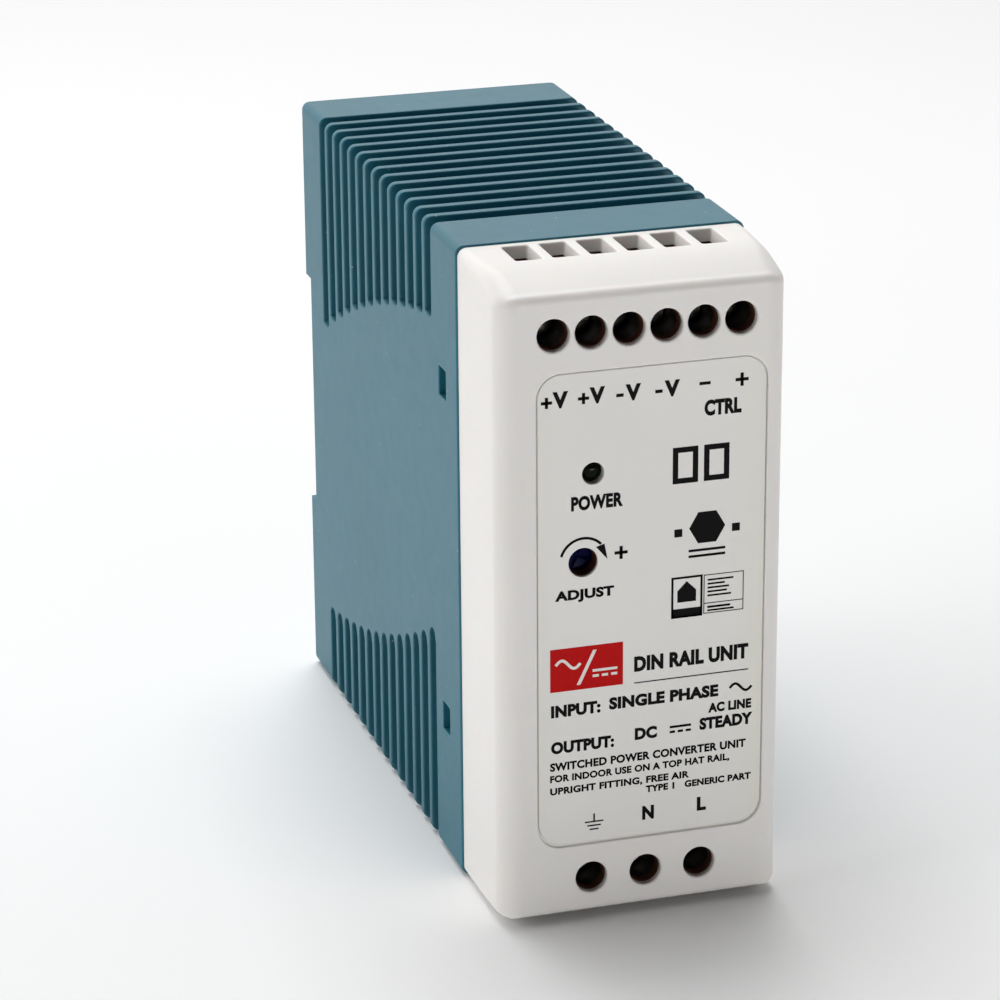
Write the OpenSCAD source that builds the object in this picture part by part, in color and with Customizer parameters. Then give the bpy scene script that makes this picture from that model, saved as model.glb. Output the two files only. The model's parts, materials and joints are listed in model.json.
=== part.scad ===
// DIN rail power supply: ribbed case, snap-on terminal cap, rail latch and the
// electronics inside. Millimetres. +X is right and -Y is the front, +Z is up.
// The origin is the middle of the underside.

/* [Case] */
// Width of the case across the rail
case_w = 40; // [39.5:0.5:42]
// Height of the case
case_h = 90; // [90:0.5:92]
// Depth from the cap's front face to the rear face
case_d = 100; // [98:1:104]
// Depth of the front cap
cap_d = 18; // [17.6:0.1:18.4]
// Wall thickness of the case
wall = 2.2; // [2:0.1:2.4]
// Radius along the long edges of the case
edge_r = 1.2; // [0.8:0.1:1.6]

/* [Grooves] */
// Number of grooves in each of the two groups
groove_count = 14; // [6:1:14]
// Distance between grooves
groove_pitch = 4.335; // [4.1:0.005:4.4]
// Width of one groove
groove_w = 2.9; // [2:0.1:3.2]
// Depth of one groove
groove_depth = 1.3; // [0.6:0.1:1.4]
// Distance from the rear face to the middle of the first groove
groove_inset = 12.2; // [11:0.1:13]
// Height at which the middle groove of the upper group ends
groove_end_z = 70.05; // [66:0.05:74]

/* [Rail seat] */
// Height of the recess that takes the 35 mm rail
rail_slot_h = 35.8; // [35.6:0.1:36]
// Height of the recess's lower edge above the underside
rail_slot_z = 27.6; // [27:0.1:28]
// Depth of the recess
rail_slot_depth = 3.3; // [3.2:0.1:3.4]
// Gap that the hooks leave for the rail's flange
flange_gap = 1.2; // [1.1:0.1:1.3]
// Travel of the latch when it is pulled down
latch_travel = 4.5; // [3.5:0.1:4.5]
// Width of the latch
latch_w = 15; // [14:0.5:16]

/* [Terminals] */
// Number of output terminals along the top
out_poles = 6; // [2:1:6]
// Distance between output terminals
out_pitch = 5.08; // [5.08:0.01:5.1]
// Number of input terminals along the bottom
in_poles = 3; // [2:1:3]
// Distance between input terminals
in_pitch = 7.62; // [7.5:0.01:7.7]
// Height of the output screws
out_z = 82.4; // [82.2:0.1:82.6]
// Height of the input screws
in_z = 6; // [5.8:0.1:6.2]
// Diameter of the screwdriver holes in the cap
driver_hole_d = 4.4; // [4.2:0.1:4.4]
// Travel of a wire cage from open to shut
cage_travel = 2.5; // [2:0.1:2.5]

/* [Front panel] */
// Width of the label
label_w = 31.2; // [30:0.1:31.6]
// Height of the label
label_h = 65.6; // [64:0.1:66]
// Diameter of the hole for the lamp
lamp_hole_d = 3; // [3:0.1:3.4]
// Diameter of the hole for the trimmer
trimmer_hole_d = 4; // [3.6:0.1:4.4]

/* [Hidden] */
$fn = 48;
EPS = 0.1;
SHELL_BLUE = [0.36, 0.52, 0.58];
CAP_WHITE = [0.90, 0.89, 0.87];
BOARD_GREEN = [0.10, 0.36, 0.20];
BLACK = [0.08, 0.08, 0.08];
STEEL = [0.72, 0.72, 0.72];
COPPER = [0.72, 0.42, 0.20];
TIN = [0.80, 0.80, 0.78];

half_w = case_w / 2;
front_y = -case_d / 2;
rear_y = case_d / 2;
boundary_y = front_y + cap_d;
inner_w = case_w - 2 * wall;
inner_top = case_h - wall;

// Rail seat, latch and spring
slot_floor_y = rear_y - rail_slot_depth;
slot_top_z = rail_slot_z + rail_slot_h;
hook_y = slot_floor_y + flange_gap;
hook_drop = 2;
rear_wall_y = slot_floor_y - wall - EPS;
channel_y = slot_floor_y + 0.5;
latch_y0 = channel_y + 0.2;
latch_y1 = rear_y - 0.2;
latch_z0 = 0.8;
latch_z1 = rail_slot_z + hook_drop;
latch_gap = 0.2;
wing_w = 1.6;
wing_y1 = latch_y0 + 0.8;
wing_z0 = 4;
wing_z1 = 24;
window_w = 5.2;
window_z0 = 7;
window_z1 = 22;
tab_z0 = 7.5;
tab_z1 = 9.4;
spring_y = 47.5;
spring_d = 3.8;
spring_wire = 0.6;
spring_turns = 6;
pocket_w = spring_d + 0.6;
pocket_y0 = spring_y - spring_d / 2 - 0.3;

// Snaps between the cap's tongues and the case
snap_y0 = -26.8;
snap_y1 = -23.4;
snap_h = 4.1;
snap_z = [20.6, 69.15];
snap_depth = 2;
bump_h = 1.5;
tongue_t = 1.3;
tongue_h = 9;

// Cap
cap_inset = 0.25;
cap_wall = 2.4;
cap_corner_r = 3.2;
cap_nose_r = 2;
cap_flat_y = front_y + 9;
cap_drop = 1.45;
cavity_w = case_w - 2 * cap_wall;
cavity_y = front_y + cap_wall;
cavity_z0 = 2.8;
cavity_z1 = case_h - cavity_z0;

// Label
label_x = 1.125;
label_z = 44.3;
label_r = 3.2;
label_t = 0.35;
recess_gap = 0.2;
recess_depth = 0.5;

// Terminals, with y measured in the part's frame and z from the screw's axis
out_x = 0.4;
in_x = 0.5;
block_y0 = cavity_y + 0.1;
block_y1 = -31.4;
block_inner_h = 6.6;
out_outer_h = cavity_z1 - out_z;
in_outer_h = in_z - cavity_z0;
well_d = driver_hole_d - 0.1;
ledge_y0 = -42;
ledge_y1 = -41.2;
chamber_y1 = -32.2;
chamber_z0 = -4.7;
chamber_z1 = 2.6;
chamber_gap = 0.2;
wire_window_y0 = -40;
wire_window_y1 = -33.3;
wire_window_w = 3.6;
bar_y0 = -37;
bar_y1 = -36;
bar_leg_t = 0.8;
bar_end_y = -29;
bar_z0 = -4.5;
head_d = 3.9;
head_y0 = -43.7;
head_y1 = -42.1;
drive_w = 0.7;
drive_depth = 0.8;
shank_d = 2.8;
thread_gap = 0.05;
cage_y0 = -38.5;
cage_y1 = -32.4;
cage_inner_y0 = -37.1;
cage_inner_y1 = -33.4;
cage_h = 4.8;
cage_side = 0.45;
out_cage_w = 3.9;
in_cage_w = 5.8;

// Lamp and trimmer
lamp_x = -6.94;
lamp_z = 63.3;
lamp_d = lamp_hole_d - 0.1;
lamp_flange_y = -42.2;
lamp_tip_y = -48.9;
lead_d = 0.6;
lead_gap = 0.1;
trimmer_x = -8.29;
trimmer_z = 51.2;
trimmer_w = 6.6;
trimmer_y0 = -45.8;
trimmer_y1 = -39;
rotor_y0 = -47;
rotor_d = 4.2;
hub_d = 2;

// Boards
board_t = 1.6;
front_board_y0 = block_y1;
front_board_y1 = front_board_y0 + board_t;
front_board_w = 32.2;
front_board_z0 = 3.2;
main_x0 = -14.5;
main_x1 = main_x0 + board_t;
main_y0 = -27;
main_y1 = 42;
main_z0 = wall + 0.3;
main_z1 = inner_top - 0.3;
pin_w = 0.64;

OUT_SCREWS = [for (i = [1 : out_poles]) str("output_screw_", i)];
IN_SCREWS = [for (i = [1 : in_poles]) str("input_screw_", i)];
OUT_CAGES = [for (i = [1 : out_poles]) str("output_cage_", i)];
IN_CAGES = [for (i = [1 : in_poles]) str("input_cage_", i)];

// ---- Helpers ----

// A box from its lowest to its highest corner
module box(lo, hi) translate(lo) cube(hi - lo);

// An XZ outline made solid between two depths
module y_extrude(y0, y1) translate([0, y1, 0]) rotate([90, 0, 0]) linear_extrude(y1 - y0) children();

// A YZ outline made solid between two sides
module x_extrude(x0, x1) translate([x0, 0, 0]) rotate([90, 0, 90]) linear_extrude(x1 - x0) children();

module y_rod(x, z, y0, y1, d) translate([x, y1, z]) rotate([90, 0, 0]) cylinder(h = y1 - y0, d = d);
module x_rod(y, z, x0, x1, d) translate([x0, y, z]) rotate([0, 90, 0]) cylinder(h = x1 - x0, d = d);
module z_rod(x, y, z0, z1, d) translate([x, y, z0]) cylinder(h = z1 - z0, d = d);

module rounded_rect(w, h, r) {
    square([w - 2 * r, h], center = true);
    square([w, h - 2 * r], center = true);
    for (x = [-1, 1], z = [-1, 1]) translate([x * (w / 2 - r), z * (h / 2 - r)]) circle(r);
}

module both_sides() {
    children();
    mirror([1, 0, 0]) children();
}

function arc(x, y, r, from, to, steps) =
    [for (i = [0 : steps]) let (a = from + (to - from) * i / steps) [x + r * cos(a), y + r * sin(a)]];

// ---- Case ----

// Height at which the upper group's groove at depth y ends: a long shallow bow,
// lower at the back. The lower group's ends are the same bow turned half round.
groove_mid_y = 9.65;
function upper_end(y) = let (u = y - groove_mid_y) groove_end_z - 0.3234 * u - 0.003048 * u * u;
function lower_end(y) = case_h - upper_end(2 * groove_mid_y - y);
function groove_y(i) = rear_y - groove_inset - groove_pitch * i;

// What a groove takes off one group's walls: outside the inner outline, past its end
module groove_outline(z0, z1) {
    inner_r = 2.4;
    difference() {
        translate([-half_w - 1, z0]) square([case_w + 2, z1 - z0]);
        translate([0, case_h / 2])
            rounded_rect(case_w - 2 * groove_depth, case_h - 2 * groove_depth, inner_r);
    }
}

module grooves() {
    for (i = [0 : groove_count - 1]) {
        y = groove_y(i);
        y_extrude(y - groove_w / 2, y + groove_w / 2) groove_outline(upper_end(y), case_h + 1);
        y_extrude(y - groove_w / 2, y + groove_w / 2) groove_outline(-1, lower_end(y));
    }
}

// The hollow for the boards, and the cored-out corners behind it
module case_cavity() {
    box([-inner_w / 2, boundary_y - EPS, wall], [inner_w / 2, rear_wall_y, inner_top]);
    pocket_x = latch_w / 2 + 3.9;
    core_y = rear_y - wall;
    box([-inner_w / 2, rear_wall_y - EPS, slot_top_z + wall], [inner_w / 2, core_y, inner_top]);
    both_sides()
        box([pocket_x, rear_wall_y - EPS, wall], [inner_w / 2, core_y, rail_slot_z - wall]);
}

module snap_bumps() {
    for (z = snap_z) both_sides()
        box(
            [inner_w / 2 - bump_h, snap_y0 - 0.3, z - snap_h / 2 - 0.6],
            [inner_w / 2 + EPS, snap_y1 + 0.5, z + snap_h / 2 + 0.6]
        );
}

module snap_pockets() {
    for (z = snap_z) both_sides()
        box(
            [half_w - snap_depth, snap_y0, z - snap_h / 2],
            [half_w + 1, snap_y1, z + snap_h / 2]
        );
}

// Ribs that hold the main board's long edges, and stops behind the front board
module board_guides() {
    guide_t = 1.3;
    guide_h = 2.4;
    for (x = [main_x0 - guide_t - 0.1, main_x1 + 0.1], z = [wall - EPS, inner_top - guide_h])
        box([x, -20, z], [x + guide_t, 40, z + guide_h + EPS]);
    for (z = [wall - EPS, inner_top - guide_h])
        box([6, front_board_y1 + 0.1, z], [14, front_board_y1 + 5, z + guide_h + EPS]);
}

// Room for the latch and its wings, and for the spring behind it
module latch_channel() {
    half = latch_w / 2 + latch_gap;
    box([-half, channel_y, -1], [half, rear_y + 1, rail_slot_z + EPS]);
    box([-half - wing_w, channel_y, -1], [half + wing_w, wing_y1 + latch_gap, rail_slot_z + EPS]);
    box([-pocket_w / 2, pocket_y0, tab_z1], [pocket_w / 2, channel_y + EPS, window_z1 + EPS]);
}

module rail_recess() {
    box([-half_w - 1, slot_floor_y, rail_slot_z], [half_w + 1, rear_y + 1, slot_top_z]);
}

module rail_hooks() {
    both_sides() box([5, hook_y, slot_top_z - hook_drop], [15, rear_y, slot_top_z + EPS]);
}

// The stop that holds the latch in and carries the foot of the spring
module spring_tab() {
    tab_w = window_w - 0.6;
    box([-tab_w / 2, channel_y - EPS, tab_z0], [tab_w / 2, rear_y - 0.4, tab_z1]);
}

module case_shell() color(SHELL_BLUE) {
    difference() {
        union() {
            difference() {
                y_extrude(boundary_y, rear_y) translate([0, case_h / 2])
                    rounded_rect(case_w, case_h, edge_r);
                case_cavity();
            }
            snap_bumps();
            board_guides();
        }
        grooves();
        snap_pockets();
        rail_recess();
        latch_channel();
    }
    rail_hooks();
    spring_tab();
}

// ---- Cap and label ----

// Upper half of the cap's side outline, from the case to the middle of the front
function cap_crown() = let (
    top = case_h - cap_inset,
    nose_y = front_y + cap_nose_r,
    nose_z = top - cap_drop
) concat(
    [[boundary_y, top]],
    [for (i = [0 : 4]) let (t = i / 5) [
        cap_flat_y + (nose_y - cap_flat_y) * t,
        top - cap_drop * (1 - cos(90 * t))
    ]],
    arc(nose_y, nose_z - cap_nose_r, cap_nose_r, 90, 180, 6)
);

function flipped(points) = [for (i = [len(points) - 1 : -1 : 0]) [points[i][0], case_h - points[i][1]]];

module cap_plan() {
    side = half_w - cap_inset;
    points = concat(
        [[-side, boundary_y]],
        arc(-side + cap_corner_r, front_y + cap_corner_r, cap_corner_r, 180, 270, 8),
        arc(side - cap_corner_r, front_y + cap_corner_r, cap_corner_r, 270, 360, 8),
        [[side, boundary_y]]
    );
    polygon(points);
}

module snap_tongues() {
    x1 = inner_w / 2 - 0.2;
    for (z = snap_z) both_sides() difference() {
        box(
            [x1 - tongue_t, boundary_y - 6, z - tongue_h / 2],
            [x1 + EPS, snap_y1 + 2.1, z + tongue_h / 2]
        );
        box([x1 - tongue_t - 1, snap_y0 - 0.6, z - snap_h / 2 - 0.8],
            [x1 + 1, snap_y1 + 0.7, z + snap_h / 2 + 0.8]);
    }
}

module label_outline(grow) {
    translate([label_x, label_z]) rounded_rect(label_w + 2 * grow, label_h + 2 * grow, label_r + grow);
}

module panel_holes() {
    y_rod(lamp_x, lamp_z, front_y - 1, cavity_y + 1, lamp_hole_d);
    y_rod(trimmer_x, trimmer_z, front_y - 1, cavity_y + 1, trimmer_hole_d);
}

function pole_x(mid, poles, pitch, i) = mid + pitch * (i - (poles + 1) / 2);

module front_cap() color(CAP_WHITE) difference() {
    union() {
        difference() {
            intersection() {
                x_extrude(-half_w, half_w) polygon(concat(cap_crown(), flipped(cap_crown())));
                linear_extrude(case_h) cap_plan();
            }
            box([-cavity_w / 2, cavity_y, cavity_z0], [cavity_w / 2, boundary_y + 1, cavity_z1]);
        }
        snap_tongues();
    }
    y_extrude(front_y - 1, front_y + recess_depth) label_outline(recess_gap);
    panel_holes();
    for (i = [1 : out_poles]) let (x = pole_x(out_x, out_poles, out_pitch, i)) {
        y_rod(x, out_z, front_y - 1, cavity_y + 1, driver_hole_d);
        box([x - wire_window_w / 2, wire_window_y0, cavity_z1 - 1],
            [x + wire_window_w / 2, wire_window_y1, case_h + 1]);
    }
    for (i = [1 : in_poles]) let (x = pole_x(in_x, in_poles, in_pitch, i)) {
        y_rod(x, in_z, front_y - 1, cavity_y + 1, driver_hole_d);
        box([x - wire_window_w / 2, wire_window_y0, -1],
            [x + wire_window_w / 2, wire_window_y1, cavity_z0 + 1]);
    }
}

module front_label() color(CAP_WHITE) difference() {
    y_extrude(front_y + recess_depth - label_t, front_y + recess_depth) label_outline(0);
    panel_holes();
}

// ---- Rail latch ----

module rail_latch() color(BLACK) difference() {
    union() {
        x_extrude(-latch_w / 2, latch_w / 2) polygon([
            [latch_y0, latch_z0],
            [latch_y1, latch_z0],
            [latch_y1, latch_z1 - 1.2],
            [latch_y1 - 0.9, latch_z1],
            [hook_y, latch_z1],
            [hook_y, rail_slot_z],
            [latch_y0, rail_slot_z]
        ]);
        wing_x = latch_w / 2 + wing_w - latch_gap;
        box([-wing_x, latch_y0, wing_z0], [wing_x, wing_y1, wing_z1]);
    }
    box([-window_w / 2, latch_y0 - 1, window_z0], [window_w / 2, latch_y1 + 1, window_z1]);
    box([-window_w / 2, latch_y0 - 1, 1.8], [window_w / 2, latch_y1 + 1, 3.4]);
}

// Round wire swept along a helix, as rings of points
module coil(turns, r, wire_r, length) {
    ring = 6;
    steps = turns * 14;
    rise = length - 2 * wire_r;
    points = [
        for (i = [0 : steps]) let (a = 360 * i / 14, z = wire_r + rise * i / steps)
        for (j = [0 : ring - 1]) let (b = 360 * j / ring, q = r + wire_r * cos(b))
        [q * cos(a), q * sin(a), z + wire_r * sin(b)]
    ];
    sides = [
        for (i = [0 : steps - 1]) for (j = [0 : ring - 1])
        let (k = (j + 1) % ring)
        [i * ring + j, i * ring + k, (i + 1) * ring + k, (i + 1) * ring + j]
    ];
    first = [for (j = [ring - 1 : -1 : 0]) j];
    last = [for (j = [0 : ring - 1]) steps * ring + j];
    polyhedron(points, concat(sides, [first, last]), convexity = 10);
}

module latch_spring() color(STEEL)
    translate([0, spring_y, tab_z1])
        coil(spring_turns, (spring_d - spring_wire) / 2, spring_wire / 2, window_z1 - tab_z1);

// ---- Terminals: one pole on the origin, z from the screw's axis, wires from +Z ----

module place_poles(mid, z, poles, pitch, down) {
    for (i = [1 : poles]) place_pole(mid, z, poles, pitch, down, i) children();
}

module place_pole(mid, z, poles, pitch, down, i)
    translate([pole_x(mid, poles, pitch, i), 0, z]) mirror([0, 0, down ? 1 : 0]) children();

module block_hollow(cage_w, outer_h) {
    half = cage_w / 2 + chamber_gap;
    bar_half = bar_w(cage_w) / 2;
    y_rod(0, 0, block_y0 - 1, ledge_y0, well_d);
    y_rod(0, 0, ledge_y0 - 1, ledge_y1 + 1, shank_d + 0.2);
    box([-half, ledge_y1, chamber_z0], [half, chamber_y1, chamber_z1]);
    box([-wire_window_w / 2, wire_window_y0, chamber_z1 - 1],
        [wire_window_w / 2, wire_window_y1, outer_h + 1]);
    box([-bar_half, chamber_y1 - 1, bar_z0], [bar_half, block_y1 + 1, bar_z0 + bar_leg_t]);
}

function bar_w(cage_w) = cage_w - 2 * cage_side - 0.3;

module terminal_block(mid, z, poles, pitch, cage_w, outer_h, down) color(BLACK) difference() {
    end_wall = 0.5;
    half = poles * pitch / 2 + end_wall;
    translate([mid, 0, z]) mirror([0, 0, down ? 1 : 0])
        box([-half, block_y0, -block_inner_h], [half, block_y1, outer_h]);
    place_poles(mid, z, poles, pitch, down) block_hollow(cage_w, outer_h);
}

// An upright bar in the cage, with a leg that goes back through the board
module contact_bar(cage_w) {
    half = bar_w(cage_w) / 2;
    box([-half, bar_y0, bar_z0], [half, bar_y1, chamber_z1]);
    box([-half, bar_y1 - EPS, bar_z0], [half, bar_end_y, bar_z0 + bar_leg_t]);
}

module wire_cage(cage_w) color(TIN) difference() {
    inner = cage_w / 2 - cage_side;
    box([-cage_w / 2, cage_y0, -cage_h / 2], [cage_w / 2, cage_y1, cage_h / 2]);
    box([-inner, cage_inner_y0, -cage_h], [inner, cage_inner_y1, cage_h]);
    y_rod(0, 0, cage_y0 - 1, cage_inner_y0 + 1, shank_d + 2 * thread_gap);
}

module clamp_screw() color(STEEL) difference() {
    union() {
        y_rod(0, 0, head_y0, head_y1, head_d);
        y_rod(0, 0, head_y1 - EPS, bar_y0 - 0.02, shank_d);
    }
    box([-head_d, head_y0 - 1, -drive_w / 2], [head_d, head_y0 + drive_depth, drive_w / 2]);
    box([-drive_w / 2, head_y0 - 1, -1.3], [drive_w / 2, head_y0 + drive_depth, 1.3]);
}

module output_terminal_block()
    terminal_block(out_x, out_z, out_poles, out_pitch, out_cage_w, out_outer_h, false);
module input_terminal_block()
    terminal_block(in_x, in_z, in_poles, in_pitch, in_cage_w, in_outer_h, true);
module output_contact_bars() color(TIN)
    place_poles(out_x, out_z, out_poles, out_pitch, false) contact_bar(out_cage_w);
module input_contact_bars() color(TIN)
    place_poles(in_x, in_z, in_poles, in_pitch, true) contact_bar(in_cage_w);
module output_screw(i) place_pole(out_x, out_z, out_poles, out_pitch, false, i) clamp_screw();
module input_screw(i) place_pole(in_x, in_z, in_poles, in_pitch, true, i) clamp_screw();
module output_cage(i) place_pole(out_x, out_z, out_poles, out_pitch, false, i) wire_cage(out_cage_w);
module input_cage(i) place_pole(in_x, in_z, in_poles, in_pitch, true, i) wire_cage(in_cage_w);

// ---- Boards, lamp and trimmer ----

link_z0 = 16;
link_z1 = 46;
link_pins = 8;
lamp_pitch = 2.54;

module link_pin_rows() {
    step = (link_z1 - link_z0) / link_pins;
    for (i = [0 : link_pins - 1]) translate([0, 0, link_z0 + step * (i + 0.5)]) children();
}

module lamp_leads(gap) {
    for (x = [-1, 1]) let (px = lamp_x + x * lamp_pitch / 2)
        y_rod(px, lamp_z, lamp_flange_y - EPS, front_board_y1 + 0.8, lead_d + 2 * gap);
}

module trimmer_pins(gap) {
    for (p = [[-2.54, -1.2], [2.54, -1.2], [0, 1.3]])
        y_rod(trimmer_x + p[0], trimmer_z + p[1], trimmer_y1 - EPS, front_board_y1 + 0.8, lead_d + 2 * gap);
}

module link_pins_solid(gap) {
    half = pin_w / 2 + gap;
    pin_x = main_x1 + 1.3;
    link_pin_rows() {
        box([pin_x - half, front_board_y0 - 0.8, -half], [pin_x + half, main_y0 + 3.3, half]);
        box([main_x0 - 0.8, main_y0 + 2 - half, -half], [pin_x + half, main_y0 + 2 + half, half]);
    }
}

module leg_slots(cage_w) {
    half = bar_w(cage_w) / 2 + lead_gap;
    box([-half, front_board_y0 - 1, bar_z0 - lead_gap],
        [half, front_board_y1 + 1, bar_z0 + bar_leg_t + lead_gap]);
}

module terminal_board() color(BOARD_GREEN) difference() {
    box([-front_board_w / 2, front_board_y0, front_board_z0],
        [front_board_w / 2, front_board_y1, case_h - front_board_z0]);
    place_poles(out_x, out_z, out_poles, out_pitch, false) leg_slots(out_cage_w);
    place_poles(in_x, in_z, in_poles, in_pitch, true) leg_slots(in_cage_w);
    lamp_leads(lead_gap);
    trimmer_pins(lead_gap);
    link_pins_solid(lead_gap);
}

module main_board() color(BOARD_GREEN) difference() {
    box([main_x0, main_y0, main_z0], [main_x1, main_y1, main_z1]);
    link_pins_solid(lead_gap);
}

module board_link_header() {
    color(BLACK) difference() {
        box([main_x1, front_board_y1, link_z0], [main_x1 + 2.6, main_y0 + 1, link_z1]);
        link_pins_solid(0);
    }
    color(TIN) link_pins_solid(0);
}

module status_lamp() {
    dome_y = lamp_tip_y + lamp_d / 2;
    color([0.10, 0.35, 0.12]) {
        y_rod(lamp_x, lamp_z, dome_y, lamp_flange_y, lamp_d);
        translate([lamp_x, dome_y, lamp_z]) sphere(d = lamp_d);
        y_rod(lamp_x, lamp_z, lamp_flange_y - 1, lamp_flange_y, lamp_d + 0.8);
    }
    color(TIN) lamp_leads(0);
    color(CAP_WHITE) difference() {
        y_rod(lamp_x, lamp_z, lamp_flange_y, front_board_y0, lamp_d + 0.8);
        lamp_leads(0);
    }
}

module trimmer_body() {
    half = trimmer_w / 2;
    color([0.10, 0.16, 0.45]) difference() {
        box([trimmer_x - half, trimmer_y0, trimmer_z - half],
            [trimmer_x + half, trimmer_y1, trimmer_z + half]);
        y_rod(trimmer_x, trimmer_z, trimmer_y0 - 1, trimmer_y0 + 3, hub_d + 2 * thread_gap);
    }
    color(TIN) trimmer_pins(0);
}

module trimmer_rotor() color([0.10, 0.16, 0.45]) difference() {
    union() {
        y_rod(trimmer_x, trimmer_z, rotor_y0, trimmer_y0 - 0.1, rotor_d);
        y_rod(trimmer_x, trimmer_z, trimmer_y0 - 0.2, trimmer_y0 + 2.5, hub_d);
    }
    arm = 1.5;
    for (turn = [0, 90]) translate([trimmer_x, 0, trimmer_z]) rotate([0, turn + 20, 0])
        box([-arm, rotor_y0 - 1, -0.35], [arm, rotor_y0 + 0.7, 0.35]);
}

// ---- Mains side of the main board ----

component_x = main_x1;

module input_fuse() {
    axis_x = component_x + 3.2;
    fuse_z = 10;
    fuse_y0 = -22;
    cap_len = 5;
    for (y = [fuse_y0, fuse_y0 + 20 - cap_len]) color(STEEL)
        y_rod(axis_x, fuse_z, y, y + cap_len, 5.2);
    color(CAP_WHITE) y_rod(axis_x, fuse_z, fuse_y0 + cap_len - EPS, fuse_y0 + 20 - cap_len + EPS, 4.8);
    for (y = [fuse_y0 + 2, fuse_y0 + 17]) color(TIN)
        box([component_x, y, fuse_z - 2.2], [axis_x, y + 1, fuse_z + 2.2]);
}

module leaded_disc(y, z, d, t, body) {
    color(body) y_rod(component_x + 1.5 + d / 2, z, y - t / 2, y + t / 2, d);
    for (s = [-1, 1]) color(TIN) x_rod(y, z + s * 2.5, component_x, component_x + 3, lead_d);
}

module surge_varistor() leaded_disc(2, 11, 11, 4, [0.15, 0.30, 0.65]);
module inrush_thermistor() leaded_disc(10, 11, 10, 5, [0.16, 0.20, 0.16]);

module mains_capacitor() {
    color([0.85, 0.72, 0.20]) box([component_x, 16, 5], [component_x + 12, 33, 13]);
}

choke_y = -15;
choke_z = 27.5;
choke_x = component_x + 5.2;
choke_r = 6.6;
choke_section_r = 2.4;
choke_wire_r = 0.45;
choke_turn_r = choke_section_r + choke_wire_r + 0.15;
choke_turns = 8;

// A round-section ring lying in the YZ plane
module choke_core() color([0.22, 0.24, 0.22])
    translate([choke_x, choke_y, choke_z]) rotate([0, 90, 0])
        rotate_extrude() translate([choke_r, 0]) circle(choke_section_r);

module choke_windings() color(COPPER) {
    for (side = [0, 180], i = [0 : choke_turns - 1]) let (a = side - 55 + 110 * i / (choke_turns - 1))
        translate([choke_x, choke_y, choke_z]) rotate([a, 0, 0]) translate([0, choke_r, 0])
            rotate_extrude() translate([choke_turn_r, 0]) circle(choke_wire_r);
    for (y = [-4.4, 4.4], z = [-5.3, 5.3])
        x_rod(choke_y + y, choke_z + z, component_x, component_x + 2.2, 2 * choke_wire_r);
}

module bridge_rectifier() {
    color(BLACK) box([component_x + 3, -2, 20], [component_x + 14, 12, 23.5]);
    for (i = [0 : 3]) color(TIN) x_rod(0 + i * 3.5, 21.7, component_x, component_x + 3 + EPS, 0.9);
}

module bulk_capacitor() {
    can_d = 18;
    can_y = 25;
    can_z = 27;
    color([0.12, 0.14, 0.20]) x_rod(can_y, can_z, component_x + 0.5, 15.5, can_d);
    color(BLACK) x_rod(can_y, can_z, component_x, component_x + 0.5 + EPS, can_d - 2);
}

sink_z0 = 43;
sink_t = 2;
sink_x1 = 12;
transistor_y = 10;

// A flat plate with upstanding fins
module finned_plate(y0, y1, z0) {
    fin_h = 4;
    box([component_x, y0, z0], [sink_x1, y1, z0 + sink_t]);
    for (i = [0 : 3]) let (y = y0 + (y1 - y0 - 1) * i / 3)
        box([component_x + 2, y, z0 + sink_t - EPS], [sink_x1, y + 1, z0 + sink_t + fin_h]);
}

screw_x = 9;
heatsink_bore_d = 3.2;

module primary_heatsink() color(STEEL) difference() {
    finned_plate(4, 40, sink_z0);
    z_rod(screw_x, transistor_y, sink_z0 - 1, sink_z0 + sink_t + 1, heatsink_bore_d);
}

// Three-leg power package under a heatsink plate
module power_package(y, top_z) {
    body_t = 4.4;
    tab_t = 1.3;
    color(BLACK) box([-4, y - 5, top_z - body_t], [5, y + 5, top_z - tab_t + EPS]);
    color(TIN) difference() {
        box([-4, y - 5, top_z - tab_t], [11.5, y + 5, top_z]);
        z_rod(screw_x, y, top_z - tab_t - 1, top_z + 1, heatsink_bore_d);
    }
    for (i = [-1 : 1]) color(TIN)
        box([component_x, y + 2.54 * i - 0.4, top_z - 2.9], [-4 + EPS, y + 2.54 * i + 0.4, top_z - 2.4]);
}

module switching_transistor() power_package(transistor_y, sink_z0);

rectifier_y = -10;
out_sink_z0 = 73;

module output_heatsink() color(STEEL) difference() {
    finned_plate(-24, 4, out_sink_z0);
    z_rod(screw_x, rectifier_y, out_sink_z0 - 1, out_sink_z0 + sink_t + 1, heatsink_bore_d);
}

module output_rectifier() power_package(rectifier_y, out_sink_z0);

// Pan-head screw and nut through a package's tab and its heatsink
module sink_screw(y, z0) {
    grip = sink_t + 1.3;
    z_rod(screw_x, y, z0 + sink_t, z0 + sink_t + 1.8, 5);
    z_rod(screw_x, y, z0 + sink_t - grip - 2.6, z0 + sink_t + EPS, 3);
    translate([screw_x, y, z0 + sink_t - grip - 2.2]) cylinder(h = 2.2, d = 6.2, $fn = 6);
}

module heatsink_screws() color(STEEL) {
    sink_screw(transistor_y, sink_z0);
    sink_screw(rectifier_y, out_sink_z0);
}

// ---- Transformer: two E cores on a bobbin, legs along Y ----

core_x0 = component_x + 3;
core_w = 20;
core_y0 = -23;
core_y1 = 3;
core_z = 56;
core_h = 6;
core_leg = 3.5;
core_back = 3;
centre_d = 7;
flange_t = 1;
core_x = core_x0 + core_w / 2;

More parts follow.
